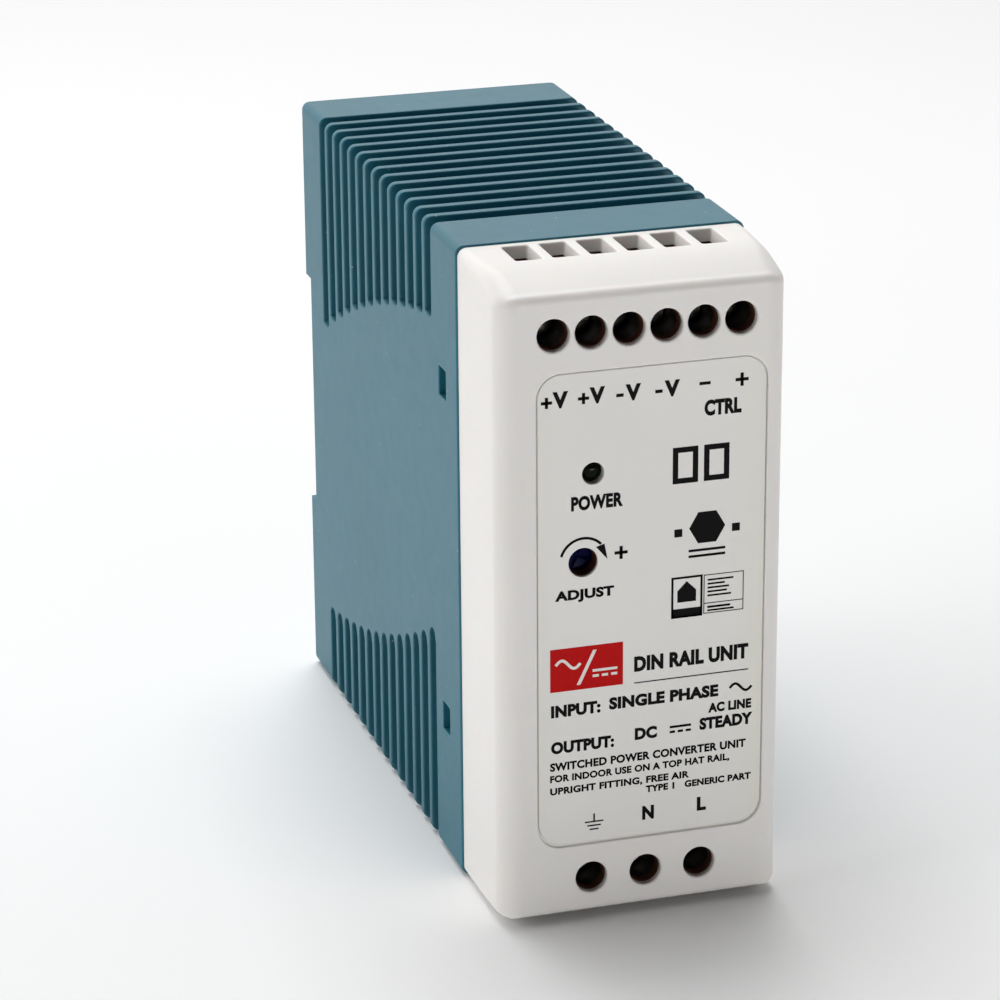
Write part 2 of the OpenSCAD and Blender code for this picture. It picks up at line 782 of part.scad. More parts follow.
module transformer_core() color([0.13, 0.13, 0.14]) {
    mid_y = (core_y0 + core_y1) / 2;
    for (half = [[core_y0, mid_y], [mid_y + 0.1, core_y1]]) {
        back_y0 = half[0] == core_y0 ? core_y0 : core_y1 - core_back;
        box([core_x0, back_y0, core_z - core_h], [core_x0 + core_w, back_y0 + core_back, core_z + core_h]);
        for (x = [core_x0, core_x0 + core_w - core_leg])
            box([x, half[0], core_z - core_h], [x + core_leg, half[1], core_z + core_h]);
        y_rod(core_x, core_z, half[0], half[1], centre_d);
    }
}

module transformer_bobbin() color([0.15, 0.15, 0.15]) {
    y0 = core_y0 + core_back + 0.2;
    y1 = core_y1 - core_back - 0.2;
    bore_d = centre_d + 0.4;
    difference() {
        union() {
            y_rod(core_x, core_z, y0, y1, bore_d + 2);
            for (y = [y0, y1 - flange_t])
                box([core_x0 + core_leg + 0.2, y, core_z - 9], [core_x0 + core_w - core_leg - 0.2, y + flange_t, core_z + 9]);
        }
        y_rod(core_x, core_z, y0 - 1, y1 + 1, bore_d);
    }
    for (y = [y0 + flange_t - EPS, y1 - flange_t - 1.2])
        for (z = [-8.4, 8.4])
            box([component_x, y, core_z + z - 0.5], [core_x, y + 1.2, core_z + z + 0.5]);
}

module transformer_winding() color([0.86, 0.74, 0.30]) {
    y0 = core_y0 + core_back + 0.2 + flange_t + 1.4;
    y1 = core_y1 - core_back - 0.2 - flange_t - 1.4;
    inner_d = centre_d + 2.4;
    difference() {
        y_rod(core_x, core_z, y0, y1, core_w - 2 * core_leg - 0.8);
        y_rod(core_x, core_z, y0 - 1, y1 + 1, inner_d);
    }
}

// ---- Control and output side ----

module dip_package(y0, y1, z0, pins) {
    color(BLACK) box([component_x + 0.6, y0, z0], [component_x + 3.8, y1, z0 + 6.4]);
    step = (y1 - y0) / pins;
    for (i = [0 : pins - 1], z = [z0 - 0.7, z0 + 6.3]) color(TIN)
        box([component_x, y0 + step * (i + 0.5) - 0.3, z], [component_x + 2, y0 + step * (i + 0.5) + 0.3, z + 0.8]);
}

module optocoupler() dip_package(8, 12.8, 52, 2);
module controller_chip() dip_package(17, 27, 52, 4);

module safety_capacitors() {
    leaded_disc(32, 57, 8, 3.5, [0.15, 0.35, 0.70]);
    leaded_disc(38, 57, 8, 3.5, [0.15, 0.35, 0.70]);
}

module output_capacitors() {
    can_z = 68.5;
    for (y = [12, 24, 36]) {
        color([0.10, 0.28, 0.30]) x_rod(y, can_z, component_x + 0.5, 8, 10);
        color(BLACK) x_rod(y, can_z, component_x, component_x + 0.5 + EPS, 9);
    }
}

module output_inductor() {
    y = 16;
    z = 79.2;
    color([0.20, 0.20, 0.20]) {
        for (x = [component_x, component_x + 12]) x_rod(y, z, x, x + 1.5, 12);
        x_rod(y, z, component_x + 1.4, component_x + 12.1, 5);
    }
    color(COPPER) difference() {
        x_rod(y, z, component_x + 1.5, component_x + 12, 10.6);
        x_rod(y, z, component_x, component_x + 14, 5);
    }
}

// ---- Drawing ----

case_shell();
front_cap();
front_label();
rail_latch();
latch_spring();
main_board();
terminal_board();
board_link_header();
output_terminal_block();
input_terminal_block();
output_contact_bars();
input_contact_bars();
status_lamp();
trimmer_body();
trimmer_rotor();
input_fuse();
surge_varistor();
inrush_thermistor();
mains_capacitor();
choke_core();
choke_windings();
bridge_rectifier();
bulk_capacitor();
switching_transistor();
primary_heatsink();
output_heatsink();
heatsink_screws();
transformer_core();
transformer_bobbin();
transformer_winding();
optocoupler();
controller_chip();
safety_capacitors();
output_rectifier();
output_capacitors();
output_inductor();
for (i = [1 : out_poles]) {
    output_screw(i);
    output_cage(i);
}
for (i = [1 : in_poles]) {
    input_screw(i);
    input_cage(i);
}
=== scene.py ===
"""DIN rail power supply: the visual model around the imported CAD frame.

Sizes are in millimetres in the part's frame (front faces -Y, +Z up) and become metres in mesh_object().
"""
import json
import math
import random
from contextlib import contextmanager

import bpy
import bmesh
from mathutils import Matrix, Vector


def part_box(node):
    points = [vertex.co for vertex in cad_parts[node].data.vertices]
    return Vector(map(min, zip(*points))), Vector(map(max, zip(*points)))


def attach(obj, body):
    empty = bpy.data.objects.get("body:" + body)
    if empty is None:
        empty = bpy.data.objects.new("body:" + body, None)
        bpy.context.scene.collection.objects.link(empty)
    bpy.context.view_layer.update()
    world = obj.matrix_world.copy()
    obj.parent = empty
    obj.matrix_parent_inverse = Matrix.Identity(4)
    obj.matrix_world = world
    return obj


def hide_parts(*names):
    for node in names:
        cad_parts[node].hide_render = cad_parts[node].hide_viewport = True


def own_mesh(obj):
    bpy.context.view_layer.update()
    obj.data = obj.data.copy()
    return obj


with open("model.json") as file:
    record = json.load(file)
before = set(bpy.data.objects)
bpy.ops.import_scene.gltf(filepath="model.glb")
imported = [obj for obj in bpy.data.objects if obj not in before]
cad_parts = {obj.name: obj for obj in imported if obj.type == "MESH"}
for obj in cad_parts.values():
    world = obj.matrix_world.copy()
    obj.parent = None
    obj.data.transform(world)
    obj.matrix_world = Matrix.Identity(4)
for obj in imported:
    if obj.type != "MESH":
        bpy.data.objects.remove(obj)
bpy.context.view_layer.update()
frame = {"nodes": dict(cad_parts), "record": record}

MM = 0.001
WELD_M, CAD_WELD_M = 1e-7, 1e-6


def node_box(node):
    """Lowest and highest corner of a CAD node, in mm."""
    low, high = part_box(node)
    return low / MM, high / MM


SHELL_LO, SHELL_HI = node_box("case_shell")
CAP_LO, CAP_HI = node_box("front_cap")
LABEL_LO, LABEL_HI = node_box("front_label")
HALF_W = SHELL_HI.x
HEIGHT = SHELL_HI.z
REAR = SHELL_HI.y
FRONT = CAP_LO.y
SEAM = SHELL_LO.y
WALL = 2.2


# ---- Mesh helpers ----

def placed(name, data):
    """A new object in the scene that shows the given data."""
    obj = bpy.data.objects.new(name, data)
    bpy.context.scene.collection.objects.link(obj)
    return obj


def mesh_object(name, verts, faces):
    """A mesh from points in mm."""
    mesh = bpy.data.meshes.new(name)
    mesh.from_pydata([[c * MM for c in v] for v in verts], [], faces)
    mesh.update()
    return placed(name, mesh)


@contextmanager
def edited(obj):
    """Opens an object's mesh for editing and writes it back."""
    bm = bmesh.new()
    bm.from_mesh(obj.data)
    yield bm
    bm.to_mesh(obj.data)
    bm.free()


def loft(name, rings, closed=False):
    """A closed solid through rings of points. With closed=True the last ring joins the first."""
    count = len(rings[0])
    verts = [p for ring in rings for p in ring]
    spans = len(rings) if closed else len(rings) - 1
    faces = []
    for r in range(spans):
        a, b = r * count, (r + 1) % len(rings) * count
        for i in range(count):
            k = (i + 1) % count
            faces.append((a + i, a + k, b + k, b + i))
    if not closed:
        faces.append(tuple(range(count - 1, -1, -1)))
        faces.append(tuple(range((len(rings) - 1) * count, len(rings) * count)))
    obj = mesh_object(name, verts, faces)
    outward(obj)
    return obj


def outward(obj):
    """Makes a closed mesh's faces point outwards."""
    with edited(obj) as bm:
        bmesh.ops.recalc_face_normals(bm, faces=bm.faces)


def arc_points(cx, cy, r, start, end, steps):
    """Points on an arc, angles in degrees."""
    angles = [math.radians(start + (end - start) * i / steps) for i in range(steps + 1)]
    return [(cx + r * math.cos(a), cy + r * math.sin(a)) for a in angles]


def rounded_rect(cx, cz, hx, hz, rx, rz=None, steps=8):
    """Outline of a rectangle with rounded corners, anticlockwise from the lower right."""
    rz = rx if rz is None else rz
    points = []
    for sx, sz, start in ((1, -1, -90), (1, 1, 0), (-1, 1, 90), (-1, -1, 180)):
        for i in range(steps + 1):
            a = math.radians(start + 90 * i / steps)
            points.append((
                cx + sx * (hx - rx) + rx * math.cos(a),
                cz + sz * (hz - rz) + rz * math.sin(a),
            ))
    return points


def prism(name, outline, axis, low, high):
    """An outline made solid along an axis; the outline's pair is the other two axes in order."""
    place = {
        "x": lambda a, b, h: (h, a, b),
        "y": lambda a, b, h: (a, h, b),
        "z": lambda a, b, h: (a, b, h),
    }[axis]
    return loft(name, [[place(a, b, h) for a, b in outline] for h in (low, high)])


def box_solid(name, low, high, bevel=0.0, segments=2):
    """A box with rounded edges."""
    corners = [(x, y, z) for x in (low[0], high[0]) for y in (low[1], high[1]) for z in (low[2], high[2])]
    faces = [(0, 1, 3, 2), (4, 6, 7, 5), (0, 4, 5, 1), (2, 3, 7, 6), (0, 2, 6, 4), (1, 5, 7, 3)]
    obj = mesh_object(name, corners, faces)
    if bevel > 0:
        with edited(obj) as bm:
            bmesh.ops.bevel(
                bm, geom=bm.edges[:], offset=bevel * MM, segments=segments, profile=0.5, affect="EDGES"
            )
    outward(obj)
    return obj


def joined(name, parts):
    """Separate solids joined into one mesh."""
    bm = bmesh.new()
    for part in parts:
        part.data.transform(part.matrix_world)
        bm.from_mesh(part.data)
        bpy.data.objects.remove(part)
    mesh = bpy.data.meshes.new(name)
    bm.to_mesh(mesh)
    bm.free()
    return placed(name, mesh)


def bake_modifiers(obj):
    """Applies an object's modifiers to its mesh."""
    graph = bpy.context.evaluated_depsgraph_get()
    mesh = bpy.data.meshes.new_from_object(obj.evaluated_get(graph))
    obj.modifiers.clear()
    obj.data = mesh


def carve(obj, *tools, operation="DIFFERENCE"):
    """Exact Booleans, each applied at once; the tools are used up."""
    for tool in tools:
        step = obj.modifiers.new("carve", "BOOLEAN")
        step.operation = operation
        step.solver = "EXACT"
        step.object = tool
        bake_modifiers(obj)
        bpy.data.objects.remove(tool)


def weigh_normals(obj, weight=50):
    """Holds flat faces flat beside their rounded edges."""
    weighted = obj.modifiers.new("weighted", "WEIGHTED_NORMAL")
    weighted.keep_sharp = True
    weighted.weight = weight


def finish_shading(obj, angle):
    """Cleans the mesh and shades it smooth, with edges past the angle kept sharp."""
    with edited(obj) as bm:
        bmesh.ops.remove_doubles(bm, verts=bm.verts, dist=WELD_M)
        bmesh.ops.dissolve_degenerate(bm, edges=bm.edges, dist=WELD_M)
    obj.data.shade_smooth()
    obj.data.set_sharp_from_angle(angle=math.radians(angle))
    weigh_normals(obj, 80)


def turned(profile, steps):
    """Rings of (radius, y) points about the Y axis."""
    turns = [2 * math.pi * i / steps for i in range(steps)]
    return [[(r * math.cos(a), y, r * math.sin(a)) for r, y in profile] for a in turns]


def revolve(name, profile, steps=48):
    """A solid turned about the Y axis from (radius, y) points; the first and last points close it."""
    rings = turned(profile, steps)
    count = len(profile)
    verts = [p for ring in rings for p in ring]
    faces = []
    for s in range(steps):
        n = (s + 1) % steps
        for j in range(count - 1):
            faces.append((s * count + j, s * count + j + 1, n * count + j + 1, n * count + j))
    faces.append(tuple(s * count for s in range(steps)))
    faces.append(tuple(s * count + count - 1 for s in reversed(range(steps))))
    obj = mesh_object(name, verts, faces)
    outward(obj)
    return obj


def moved(obj, x=0.0, y=0.0, z=0.0):
    """Shifts a mesh by a step in mm."""
    obj.data.transform(Matrix.Translation((x * MM, y * MM, z * MM)))
    return obj


def quarter_turns(steps):
    """Angles from 0 to 90 degrees, in radians."""
    return [math.pi / 2 * i / steps for i in range(steps + 1)]


def quarter(r, steps=4):
    """(outward, inward) steps of a rounded mouth, from the surface to the wall."""
    return [(r * (1 - math.sin(t)), r * (1 - math.cos(t))) for t in quarter_turns(steps)]


def at_depth(outline, y):
    """An XZ outline as a ring at depth y."""
    return [(x, y, z) for x, z in outline]


# ---- Materials ----

def preset(node, **inputs):
    """Sets constant values on a node's inputs; an underscore stands for a space."""
    for key, value in inputs.items():
        node.inputs[key.replace("_", " ")].default_value = value


class Nodes:
    """Short calls for building one material's node tree."""

    def __init__(self, name):
        self.material = bpy.data.materials.new(name)
        self.material.use_nodes = True
        self.tree = self.material.node_tree
        self.shader = self.tree.nodes["Principled BSDF"]
        self.place = self.add("ShaderNodeTexCoord").outputs["Object"]

    def add(self, kind, **values):
        node = self.tree.nodes.new(kind)
        for key, value in values.items():
            setattr(node, key, value)
        return node

    def link(self, source, target):
        self.tree.links.new(source, target)

    def surface(self, color=None, rough=None, normal=None):
        """Feeds the shader's colour, roughness and normal."""
        for key, source in (("Base Color", color), ("Roughness", rough), ("Normal", normal)):
            if source is not None:
                self.link(source, self.shader.inputs[key])

    def noise(self, per_mm, detail=3.0, rough=0.55, stretch=None):
        """A noise field with so many features a millimetre."""
        node = self.add("ShaderNodeTexNoise")
        preset(node, Scale=per_mm / MM, Detail=detail, Roughness=rough)
        source = self.place
        if stretch:
            mapping = self.add("ShaderNodeMapping")
            preset(mapping, Scale=stretch)
            self.link(source, mapping.inputs["Vector"])
            source = mapping.outputs["Vector"]
        self.link(source, node.inputs["Vector"])
        return node.outputs["Fac"]

    def cells(self, per_mm):
        node = self.add("ShaderNodeTexVoronoi")
        preset(node, Scale=per_mm / MM)
        self.link(self.place, node.inputs["Vector"])
        return node.outputs["Distance"]

    def ramp(self, source, low, high, colors=((0, 0, 0, 1), (1, 1, 1, 1))):
        node = self.add("ShaderNodeValToRGB")
        for element, position, color in zip(node.color_ramp.elements, (low, high), colors):
            element.position = position
            element.color = color
        self.link(source, node.inputs["Fac"])
        return node.outputs["Color"]

    def mix(self, factor, a, b):
        """Colour b over a by a factor; a and b are colours or sockets."""
        node = self.add("ShaderNodeMix", data_type="RGBA")
        factor_socket, a_socket, b_socket, result = node.inputs[0], node.inputs[6], node.inputs[7], node.outputs[2]
        for socket, value in ((factor_socket, factor), (a_socket, a), (b_socket, b)):
            if isinstance(value, bpy.types.NodeSocket):
                self.link(value, socket)
            else:
                socket.default_value = value
        return result

    def span(self, source, low, high):
        """Maps 0..1 to low..high."""
        node = self.add("ShaderNodeMapRange")
        preset(node, To_Min=low, To_Max=high)
        self.link(source, node.inputs["Value"])
        return node.outputs["Result"]

    def scaled(self, source, factor):
        node = self.add("ShaderNodeMath", operation="MULTIPLY")
        self.link(source, node.inputs[0])
        node.inputs[1].default_value = factor
        return node.outputs[0]

    def bump(self, source, height_mm, strength=1.0, under=None):
        node = self.add("ShaderNodeBump")
        preset(node, Strength=strength, Distance=height_mm * MM)
        self.link(source, node.inputs["Height"])
        if under is not None:
            self.link(under, node.inputs["Normal"])
        return node.outputs["Normal"]

    def edges(self, low, high):
        """1 on worn outer edges, 0 elsewhere."""
        geometry = self.add("ShaderNodeNewGeometry")
        return self.ramp(geometry.outputs["Pointiness"], low, high)


def rgba(r, g, b):
    return (r, g, b, 1.0)


def shade(color, factor):
    return rgba(*[min(1.0, c * factor) for c in color[:3]])


def plastic(name, color, rough, grain_per_mm=2.2, grain=0.006, tone=0.06, wear=1.12, specks=None, gloss=0.5,
            subsurface=0.0):
    """Moulded plastic: spark-eroded grain, faint tone drift, rubbed edges and a few specks of dust."""
    n = Nodes(name)
    drift = n.noise(0.035, 3.0)
    fine = n.noise(grain_per_mm, 4.0, 0.6)
    base = n.mix(n.ramp(drift, 0.3, 0.7), shade(color, 1 - tone), shade(color, 1 + tone))
    rubbed = n.scaled(n.edges(0.53, 0.6), 0.55)
    base = n.mix(rubbed, base, shade(color, wear))
    if specks:
        spots = n.ramp(n.cells(0.3), 0.03, 0.05, (rgba(1, 1, 1), rgba(0, 0, 0)))
        base = n.mix(n.scaled(spots, 0.35), base, specks)
    coarse = n.bump(n.noise(0.12, 2.0), 0.02, 0.2)
    n.surface(base, n.span(n.noise(0.3, 4.0), rough - 0.05, rough + 0.06), n.bump(fine, grain, 0.8, coarse))
    preset(n.shader, IOR=1.5, Specular_IOR_Level=gloss, Subsurface_Weight=subsurface, Subsurface_Scale=1.0 * MM)
    return n.material


def metal(name, color, rough, dark=0.55, brushed=(1.0, 1.0, 8.0)):
    """Plated metal: fine scratches, blotchy roughness, darker in random blotches and bright on its edges."""
    n = Nodes(name)
    blotch = n.ramp(n.noise(0.5, 5.0), 0.35, 0.7)
    base = n.mix(n.scaled(blotch, 0.6), color, shade(color, dark))
    base = n.mix(n.scaled(n.edges(0.52, 0.6), 0.6), base, shade(color, 1.15))
    scratch = n.noise(3.0, 3.0, 0.6, brushed)
    n.surface(base, n.span(scratch, rough - 0.08, rough + 0.14), n.bump(scratch, 0.004, 0.6))
    preset(n.shader, Metallic=1.0)
    return n.material


def coated(name, color, rough, lumps_per_mm, lumps, dark=0.7, coat=0.0):
    """Dipped or sintered surfaces: ceramic coating, ferrite, enamel and sleeve."""
    n = Nodes(name)
    cloud = n.ramp(n.noise(0.25, 4.0), 0.3, 0.75)
    base = n.mix(cloud, shade(color, dark), color)
    base = n.mix(n.scaled(n.edges(0.53, 0.62), 0.5), base, shade(color, 1.3))
    uneven = n.span(n.noise(0.9, 4.0), rough - 0.08, rough + 0.08)
    n.surface(base, uneven, n.bump(n.noise(lumps_per_mm, 3.0), lumps, 0.7))
    preset(n.shader, Coat_Weight=coat, Coat_Roughness=0.1)
    return n.material


def circuit_board(name):
    """Green solder resist over faint copper tracks."""
    n = Nodes(name)
    tracks = n.add("ShaderNodeTexBrick")
    preset(tracks, Scale=0.12 / MM, Mortar_Size=0.03, Mortar=rgba(0.05, 0.22, 0.07),
           Color1=rgba(0.012, 0.10, 0.044), Color2=rgba(0.016, 0.13, 0.056))
    mapping = n.add("ShaderNodeMapping")
    preset(mapping, Rotation=(0.0, math.radians(90), 0.0))
    n.link(n.place, mapping.inputs["Vector"])
    n.link(mapping.outputs["Vector"], tracks.inputs["Vector"])
    cloud = n.ramp(n.noise(0.2, 4.0), 0.3, 0.7)
    base = n.mix(n.scaled(cloud, 0.4), tracks.outputs["Color"], rgba(0.01, 0.08, 0.03))
    n.surface(base, n.span(n.noise(1.2, 3.0), 0.25, 0.42), n.bump(tracks.outputs["Fac"], 0.03, 0.4))
    return n.material


def label_film(name, color):
    """Printed polyester film: nearly smooth, a faint orange peel, with a painted cream reflection towards its long
    edges.
    """
    n = Nodes(name)
    cloud = n.ramp(n.noise(0.05, 3.0), 0.35, 0.7)
    base = n.mix(cloud, color, shade(color, 0.975))
    split = n.add("ShaderNodeSeparateXYZ")
    n.link(n.place, split.inputs[0])
    across = n.add("ShaderNodeMath", operation="ABSOLUTE")
    n.link(split.outputs["X"], across.inputs[0])
    # painted reflection: the film's colour turns cream towards its long edges
    painted_cream_reflection = n.ramp(n.scaled(across.outputs[0], 1 / (LABEL_HI.x * MM)), 0.72, 1.0)
    base = n.mix(n.scaled(painted_cream_reflection, 0.5), base, rgba(0.80, 0.80, 0.68))
    n.surface(base, n.span(n.noise(0.6, 3.0), 0.33, 0.43), n.bump(n.noise(0.9, 3.0), 0.004, 0.5))
    return n.material


def ink(name, color, rough=0.45):
    """Screen-printed ink: slightly uneven cover and sheen."""
    n = Nodes(name)
    thin = n.ramp(n.noise(1.6, 4.0), 0.45, 0.8)
    base = n.mix(n.scaled(thin, 0.25), color, shade(color, 1.4))
    n.surface(base, n.span(n.noise(2.5, 3.0), rough - 0.06, rough + 0.1), n.bump(n.noise(4.0, 2.0), 0.002, 0.6))
    preset(n.shader, Specular_IOR_Level=0.06)
    return n.material


DUST = rgba(0.75, 0.8, 0.8)
MATERIALS = {
    "shell_blue": plastic("shell_blue", rgba(0.010, 0.132, 0.186), 0.44, tone=0.05, wear=1.5, specks=DUST),
    "cap_white": plastic("cap_white", rgba(0.85, 0.825, 0.80), 0.42, grain=0.004, tone=0.012, wear=1.03,
                         subsurface=0.15),
    "label_film": label_film("label_film", rgba(0.86, 0.845, 0.815)),
    "black_plastic": plastic("black_plastic", rgba(0.010, 0.009, 0.009), 0.4, wear=2.2, gloss=0.15),
    "screw_steel": metal("screw_steel", rgba(0.62, 0.58, 0.53), 0.3),
    "tinned_metal": metal("tinned_metal", rgba(0.72, 0.71, 0.68), 0.34),
    "spring_steel": metal("spring_steel", rgba(0.50, 0.49, 0.47), 0.26, dark=0.7),
    "board_green": circuit_board("board_green"),
    "lamp_green": plastic("lamp_green", rgba(0.001, 0.003, 0.001), 0.14, grain=0.001, tone=0.1, wear=1.2, gloss=0.08),
    "trimmer_blue": plastic("trimmer_blue", rgba(0.001, 0.001, 0.05), 0.35, wear=1.5, gloss=0.06),
    "ceramic_blue": coated("ceramic_blue", rgba(0.03, 0.12, 0.32), 0.35, 1.2, 0.03),
    "ceramic_dark": coated("ceramic_dark", rgba(0.025, 0.03, 0.03), 0.5, 1.5, 0.03),
    "fuse_white": coated("fuse_white", rgba(0.75, 0.72, 0.66), 0.45, 2.0, 0.01, dark=0.9),
    "film_yellow": plastic("film_yellow", rgba(0.72, 0.42, 0.05), 0.35, wear=1.1),
    "ferrite": coated("ferrite", rgba(0.03, 0.03, 0.033), 0.55, 2.5, 0.03),
    "copper_wire": coated("copper_wire", rgba(0.42, 0.12, 0.03), 0.22, 3.0, 0.004, dark=0.8, coat=0.6),
    "winding_tape": plastic("winding_tape", rgba(0.65, 0.48, 0.08), 0.28, grain_per_mm=0.8, wear=1.05),
    "capacitor_sleeve": coated("capacitor_sleeve", rgba(0.012, 0.014, 0.02), 0.25, 0.8, 0.01, dark=0.8, coat=0.3),
    "heatsink_metal": metal("heatsink_metal", rgba(0.66, 0.67, 0.68), 0.42, dark=0.8, brushed=(1.0, 6.0, 1.0)),
}
COLLAR_BROWN = plastic("collar_brown", rgba(0.06, 0.022, 0.012), 0.45, wear=1.6, gloss=0.2)
INK_BLACK = ink("ink_black", rgba(0.004, 0.0035, 0.0035))
INK_RED = ink("ink_red", rgba(0.52, 0.006, 0.006))
INK_WHITE = ink("ink_white", rgba(0.86, 0.84, 0.81))


def dress(obj, slot, body, *nodes, material=None):
    """Gives a piece its material, its body and the CAD nodes that it stands for."""
    obj.data.materials.clear()
    obj.data.materials.append(material or MATERIALS[slot])
    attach(obj, body)
    if nodes:
        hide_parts(*nodes)


def finished(obj, name, slot, body, *nodes, angle=32.0, material=None):
    """Names, shades and dresses a piece."""
    obj.name = name
    finish_shading(obj, angle)
    dress(obj, slot, body, *nodes, material=material)


# ---- Case ----

EDGE_R = 1.2
GROOVE_COUNT = 14
GROOVE_PITCH = 4.335
GROOVE_W = 2.9
GROOVE_DEPTH = 1.3
GROOVE_INSET = 12.2
GROOVE_END_Z = 70.05
GROOVE_MID_Y = 9.65
FLOOR_CORNER_R = 2.4
UPPER_ROUND, LOWER_ROUND = 0.6, 1.4
CORNER_STEPS = 16
SNAP_Z = (20.6, 69.15)
SNAP_Y0, SNAP_Y1, SNAP_H = -26.8, -23.4, 4.1


def upper_end(y):
    """Height at which the upper group's grooves end, at depth y."""
    u = y - GROOVE_MID_Y
    return GROOVE_END_Z - 0.3234 * u - 0.003048 * u * u


def lower_end(y):
    return HEIGHT - upper_end(2 * GROOVE_MID_Y - y)


def groove_side(rim_r, floor_r, draft):
    """(distance past the wall's rim, depth) points from the surface down to the floor."""
    points = [(-rim_r + rim_r * math.sin(t), rim_r * (1 - math.cos(t))) for t in quarter_turns(4)]
    start = GROOVE_DEPTH - floor_r
    return points + [
        (draft + floor_r * (1 - math.cos(t)), start + floor_r * math.sin(t)) for t in quarter_turns(3)
    ]


def depth_rows():
    """Rows from the rear to the front: (y, groove depth allowed here, inset of the outline, nearest groove's
    centre, rounding of its ends from 0 at the centre to 1 at its walls)."""
    rear_r, seam_r = 0.5, 0.22
    first, last = groove_centre(0), groove_centre(GROOVE_COUNT - 1)
    rows = [
        (REAR - rear_r * (1 - math.cos(t)), 0.0, rear_r * (1 - math.sin(t)), first, 1.0) for t in quarter_turns(4)
    ]
    rim_r, support = 0.26, 0.15
    side = groove_side(rim_r=rim_r, floor_r=0.3, draft=0.05)
    half = GROOVE_W / 2
    rows += [(REAR - rear_r - support, 0.0, 0.0, first, 1.0), (first + half + rim_r + support, 0.0, 0.0, first, 1.0)]
    for i in range(GROOVE_COUNT):
        mid = groove_centre(i)
        offsets = [(half - w, d) for w, d in side]
        offsets += [(half * share, GROOVE_DEPTH) for share in (0.5, 0.25, 0.0, -0.25, -0.5)]
        offsets += [(w - half, d) for w, d in reversed(side)]
        for offset, depth in offsets:
            share = min(1.0, abs(offset) / half)
            rows.append((mid + offset, depth, 0.0, mid, 1 - math.sqrt(1 - share * share)))
    band = (last - half - rim_r - support, SNAP_Y1 + 0.3, SNAP_Y0 - 0.3, SEAM + seam_r + support)
    rows += [(y, 0.0, 0.0, last, 1.0) for y in band]
    return rows + [
        (SEAM + seam_r * (1 - math.cos(t)), 0.0, seam_r * (1 - math.sin(t)), last, 1.0)
        for t in reversed(quarter_turns(3))
    ]


def groove_centre(i):
    return REAR - GROOVE_INSET - GROOVE_PITCH * i


def corner_column(p):
    """Column at share p round the top right corner: outer point, inner point, outward normal."""
    reach = GROOVE_DEPTH + FLOOR_CORNER_R
    flat = reach - EDGE_R
    bend0, bend1 = 0.3, 0.7
    if p < bend0:
        outer, turn = (HALF_W - reach + flat * p / bend0, HEIGHT), 90
    elif p > bend1:
        outer, turn = (HALF_W, HEIGHT - reach + flat * (1 - p) / (1 - bend1)), 0
    else:
        turn = 90 * (bend1 - p) / (bend1 - bend0)
        a = math.radians(turn)
        outer = (HALF_W - EDGE_R + EDGE_R * math.cos(a), HEIGHT - EDGE_R + EDGE_R * math.sin(a))
    b = math.radians(90 * (1 - p))
    inner = (HALF_W - reach + FLOOR_CORNER_R * math.cos(b), HEIGHT - reach + FLOOR_CORNER_R * math.sin(b))
    normal = (math.cos(math.radians(turn)), math.sin(math.radians(turn)))
    return outer, inner, normal


def half_columns():
    """Columns from the top's middle down the right side to the bottom's middle.

    Each is a function of a groove's centre and end rounding, giving the outer point, the inner point, the
    outward normal and the groove depth allowed."""
    reach = GROOVE_DEPTH + FLOOR_CORNER_R

    def flat_column(x, outer_z, inner_z, normal_z):
        return lambda y, ease: ((x, outer_z), (x, inner_z), (0, normal_z), GROOVE_DEPTH)

    def corner(p, flip):
        outer, inner, normal = corner_column(p)
        if flip:
            outer, inner = [(q[0], HEIGHT - q[1]) for q in (outer, inner)]
            normal = (normal[0], -normal[1])
        return lambda y, ease: (outer, inner, normal, GROOVE_DEPTH)

    def side(height, depth):
        return lambda y, ease: (
            (HALF_W, height(y, ease)), (HALF_W - GROOVE_DEPTH, height(y, ease)), (1, 0), depth
        )

    def upper(y, ease):
        return upper_end(y) + UPPER_ROUND * ease

    def lower(y, ease):
        return lower_end(y) - LOWER_ROUND * ease

    columns = [flat_column(x, HEIGHT, HEIGHT - GROOVE_DEPTH, 1) for x in (0.0, 6.0, 12.0)]
    columns += [corner(i / CORNER_STEPS, False) for i in range(CORNER_STEPS + 1)]
    rim_r, support = 0.25, 0.15
    end = groove_side(rim_r=rim_r, floor_r=0.5, draft=0.1)
    reach_in = end[-1][0]
    top, bottom = HEIGHT - reach, reach
    snap_edges = ((SNAP_H / 2 + 0.3, 0.3), (-SNAP_H / 2 - 0.3, 0.6))
    for share in (0.3, 0.6, 0.85):
        columns.append(side(lambda y, e, s=share: top + (upper(y, e) + reach_in - top) * s, GROOVE_DEPTH))
    columns += [side(lambda y, e, w=w: upper(y, e) + w, d) for w, d in reversed(end)]
    columns.append(side(lambda y, e: upper(y, e) - rim_r - support, 0.0))
    for gap, step in snap_edges:
        columns.append(side(
            lambda y, e, g=gap, s=step: min(SNAP_Z[1] + g, upper(y, e) - rim_r - support - s), 0.0
        ))
    for share in (0.35, 0.65):
        columns.append(side(lambda y, e, s=share: upper(y, e) - 5 + (lower(y, e) - upper(y, e) + 5) * s, 0.0))
    columns.append(side(lambda y, e: lower(y, e) + rim_r + support, 0.0))
    columns += [side(lambda y, e, w=w: lower(y, e) - w, d) for w, d in end]
    for gap, step in snap_edges:
        columns.append(side(
            lambda y, e, g=gap, s=step: min(SNAP_Z[0] + g, lower(y, e) - reach_in - s), GROOVE_DEPTH
        ))
    columns.append(side(lambda y, e: bottom + 3.0, GROOVE_DEPTH))
    columns += [corner(i / CORNER_STEPS, True) for i in range(CORNER_STEPS, -1, -1)]
    columns += [flat_column(x, 0.0, GROOVE_DEPTH, -1) for x in (12.0, 6.0, 0.0)]
    return columns


